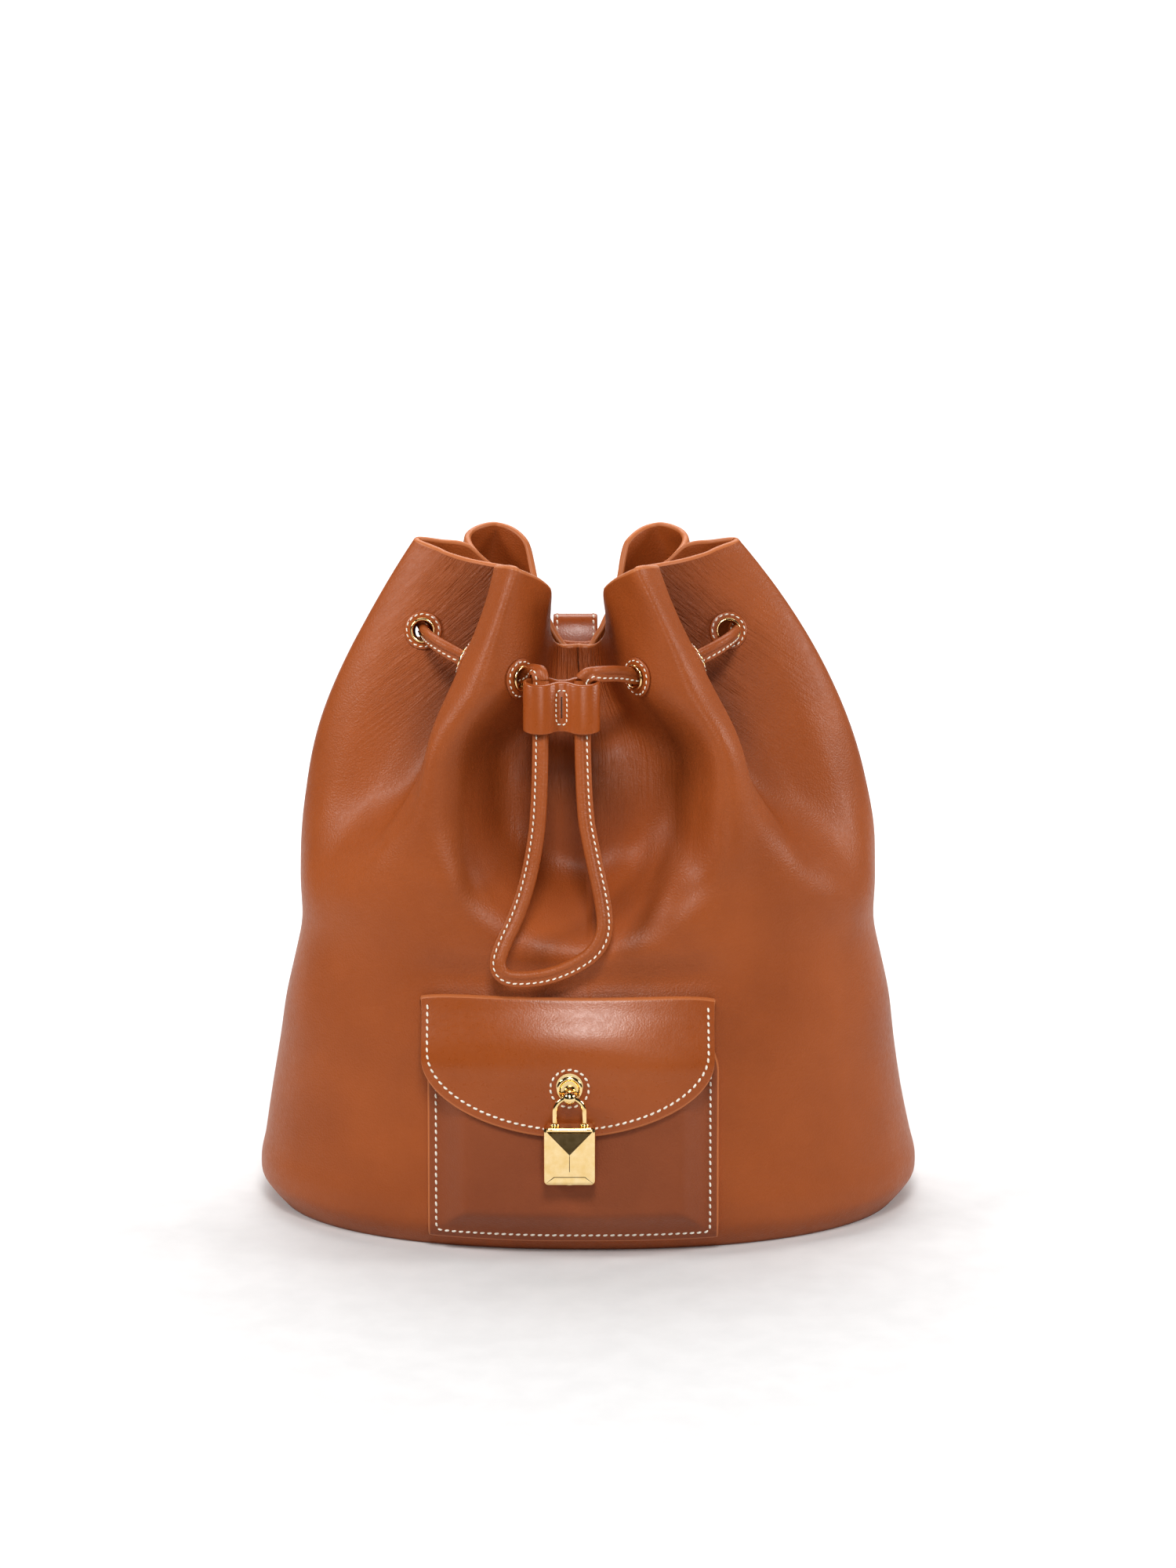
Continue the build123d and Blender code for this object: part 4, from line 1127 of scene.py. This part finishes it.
def add_case():
    """The padlock's rounded case, with holes for the shackle's legs and the key plug."""
    half_x, half_z = CASE_WIDTH / 2, CASE_HEIGHT / 2
    outline = rounded_box(half_x, half_z, 1.9, 6)
    middle_z = CASE_TOP - half_z
    points = []
    for depth, inset in CASE_LAYERS:
        points += [(EYE[0] + x * (1 - inset / half_x), EYE[1] + depth,
                    middle_z + z * (1 - inset / half_z)) for x, z in outline]
    faces = tube_faces(len(CASE_LAYERS), len(outline))
    made = piece("lock_case", points, faces, [gold], "padlock", "gold_metal", ["padlock_case"])
    holes = [pin((EYE[0] + side * SHACKLE_HALF, EYE[1], CASE_TOP - 3), UP, 1.35, 16)
             for side in (-1, 1)]
    holes.append(pin((EYE[0], EYE[1], CASE_TOP - CASE_HEIGHT), UP, 3.35, 18))
    cut(made, holes)
    made.data.shade_flat()


def add_padlock():
    """The case with its folded facet, top bar, centre line, lower bevel and collars."""
    add_case()
    half, bottom = CASE_WIDTH / 2, CASE_TOP - CASE_HEIGHT
    wide, top, apex = half - 1.3, CASE_TOP - 1.6, CASE_TOP - 12.2
    corners = [(-wide, -0.05, top), (wide, -0.05, top), (0, -0.05, apex),
               (1.4 - wide, -0.75, top - 0.5), (wide - 1.4, -0.75, top - 0.5),
               (0, -0.35, apex + 1.4)]
    faces = [[0, 2, 1], [3, 4, 5], [0, 1, 4, 3], [1, 2, 5, 4], [2, 0, 3, 5]]
    # the facet's near-black gold is a painted reflection
    lock_piece("lock_facet", (corners, faces), painted_dark_gold, flat=True)
    bar = np.linspace((-wide, -0.2, CASE_TOP - 0.95), (wide, -0.2, CASE_TOP - 0.95), 8)
    lock_piece("lock_bar", sweep(bar, UP, rounded_box(0.55, 0.45, 0.25)), gold)
    line = np.linspace((0, -0.05, apex), (0, -0.05, apex - 7.5), 8)
    # the centre line's dark gold is a painted reflection too
    lock_piece("lock_line", sweep(line, (1.0, 0, 0), rounded_box(0.14, 0.06, 0.05)), painted_dark_gold)
    corners = []
    for insets, rises, fronts in (((1.0, 4.4), (1.0, 4.0), (0.0, 0.0)),
                                  ((1.6, 4.6), (1.5, 3.7), (-0.3, -0.08))):
        for k, side in ((0, -1), (0, 1), (1, 1), (1, -1)):
            corners.append((side * (half - insets[k]), fronts[k], bottom + rises[k]))
    faces = [[0, 3, 2, 1], [4, 5, 6, 7], [0, 1, 5, 4], [1, 2, 6, 5], [2, 3, 7, 6], [3, 0, 4, 7]]
    lock_piece("lock_bevel", (corners, faces), gold, flat=True)
    collar = [(1.2, 0.0), (2.0, 0.0), (2.15, 0.35), (2.15, 0.9), (1.9, 1.2), (1.2, 1.2)]
    collars = [revolved(collar, (side * SHACKLE_HALF, CASE_FRONT, CASE_TOP + 0.02), UP, 32)
               for side in (-1, 1)]
    lock_piece("lock_collars", merged(collars), gold)


# ---- Hang loop on the back ----
PATCH_LOW, PATCH_THICKNESS = 97, 1.9
STRAP_HALF = 1.2               # half of the folded strap's thickness
# The strap's middle line from its foot up and over: y and z
STRAP_LINE = [(88.4, 101), (87.3, 112), (87.2, 123.5), (88.9, 134), (90.2, 165), (89.0, 205),
              (84.9, 242.5), (76.3, 258.6), (68.4, 242.5), (70.5, 205), (78.7, 165), (85.2, 138),
              (86.3, 131)]


def patch_back(x, z):
    """Y of the patch's inner face, x from its middle."""
    return 91.0 - (z - PATCH_LOW) * 0.06 - 0.9 * smoothstep(11, 16, np.abs(x))


def add_strap():
    """The folded strap with its stitched edges."""
    line = spline_points(STRAP_LINE, 150)
    path = np.stack([np.full(len(line), STRAP_X), line[:, 0], line[:, 1]], 1)
    points, faces = sweep(path, (1.0, 0, 0), rounded_box(10.5, STRAP_HALF, 1.0))
    strap = piece("hang_strap", points, faces, [trim_leather], None, None)
    over = np.cross(unit(np.gradient(path, axis=0)), (1.0, 0, 0))
    rows = []
    for side in (-1, 1):
        for face in (-1, 1):
            seam = path + np.array([side * 8.6, 0, 0]) + over * face * STRAP_HALF
            rows.append(stitch_row(seam[28:-6], over[28:-6] * face))
    stitches = piece("hang_strap_stitches", *merged(rows), [linen], None, None)
    for each, slot in ((strap, "trim_leather"), (stitches, "thread")):
        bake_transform(each)
    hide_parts("hang_loop", "hang_loop_root")


def add_hang_loop():
    """The strap, and the stitched patch that holds its foot."""
    add_strap()
    x = np.linspace(-16.5, 16.5, 24)[None, :]
    z = np.linspace(PATCH_LOW, 122, 20)[:, None]
    x, z = np.broadcast_arrays(x, z)
    y = patch_back(x, z)
    outer = np.stack([x + STRAP_X, y + PATCH_THICKNESS, z], -1)
    inner = np.stack([x + STRAP_X, y, z], -1)
    points, faces, kinds = slab(outer, inner)
    piece("hang_patch", points, faces, [trim_leather, edge_paint, trim_leather], "bag",
          "trim_leather", ["hang_loop_patch"], kinds)
    x, z = soft_box(13.6, 9.8, 109.5, 0.3, 120)
    seam = np.stack([x + STRAP_X, patch_back(x, z) + PATCH_THICKNESS, z], 1)
    sew("hang_patch_stitches", [stitch_row(seam, (0, 1.0, 0), closed=True)])


# ---- Studio ----
ROOM_LIGHT = 0.03
# Square lamps, in metres and watts: name, place, aim, size, power
LAMPS = (("key", (-1.0, -0.45, 0.85), (0, 0, 0.2), 0.3, 6),
         ("fill", (1.1, -0.20, 0.65), (0, 0, 0.2), 0.3, 4.8),
         ("top", (0.02, -1.0, 1.12), (0, 0, 0.13), 0.34, 7.5),
         ("front", (0.1, -1.5, 0.75), (0, 0, 0.2), 0.5, 2.5),
         ("backdrop", (0, 1.0, 1.7), (0, 1.7, 0.5), 1.8, 40))


def add_studio():
    """White paper sweep, soft lights and a dim room."""
    profile = [(-2.6, 0.0), (1.2, 0.0)]
    profile += [(1.2 + 0.7 * math.sin(a), 0.7 - 0.7 * math.cos(a))
                for a in np.linspace(0, math.pi / 2, 14)[1:]]
    profile.append((1.9, 2.6))
    across = np.linspace(-3.2, 3.2, 9)
    points = np.array([[(x, y, z - 0.0002) for x in across] for y, z in profile]).reshape(-1, 3)
    faces = grid_faces(len(profile), len(across))
    paper = piece("paper_sweep", points / MM, faces, [studio_paper()], None, None)
    for name, place, aim, size, power in LAMPS:
        lamp = bpy.data.lights.new(name, "AREA")
        lamp.shape = "SQUARE"
        lamp.size = size
        lamp.energy = power
        made = bpy.data.objects.new(name, lamp)
        made.location = place
        direction = np.array(aim, float) - np.array(place)
        made.rotation_euler = Vector(direction).to_track_quat("-Z", "Y").to_euler()
        bpy.context.scene.collection.objects.link(made)
    world = bpy.data.worlds.new("room")
    world.use_nodes = True
    background = world.node_tree.nodes["Background"].inputs
    background["Color"].default_value = (1, 1, 1, 1)
    background["Strength"].default_value = ROOM_LIGHT
    bpy.context.scene.world = world
    view = bpy.context.scene.view_settings
    view.view_transform = "Standard"
    view.look = "Medium High Contrast"


def finish_cad_nodes():
    """Gold for the CAD nodes that stay in view."""
    for name in ("flap_stud", "shackle", "lock_plug", "snap_keeper", "snap_magnet"):
        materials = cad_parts[name].data.materials
        materials.clear()
        materials.append(gold)


add_camera()
add_cords()
add_body()
add_lining()
add_base()
add_eyelets()
add_slider()
add_pocket()
add_flap()
add_padlock()
add_hang_loop()
finish_cad_nodes()
add_studio()
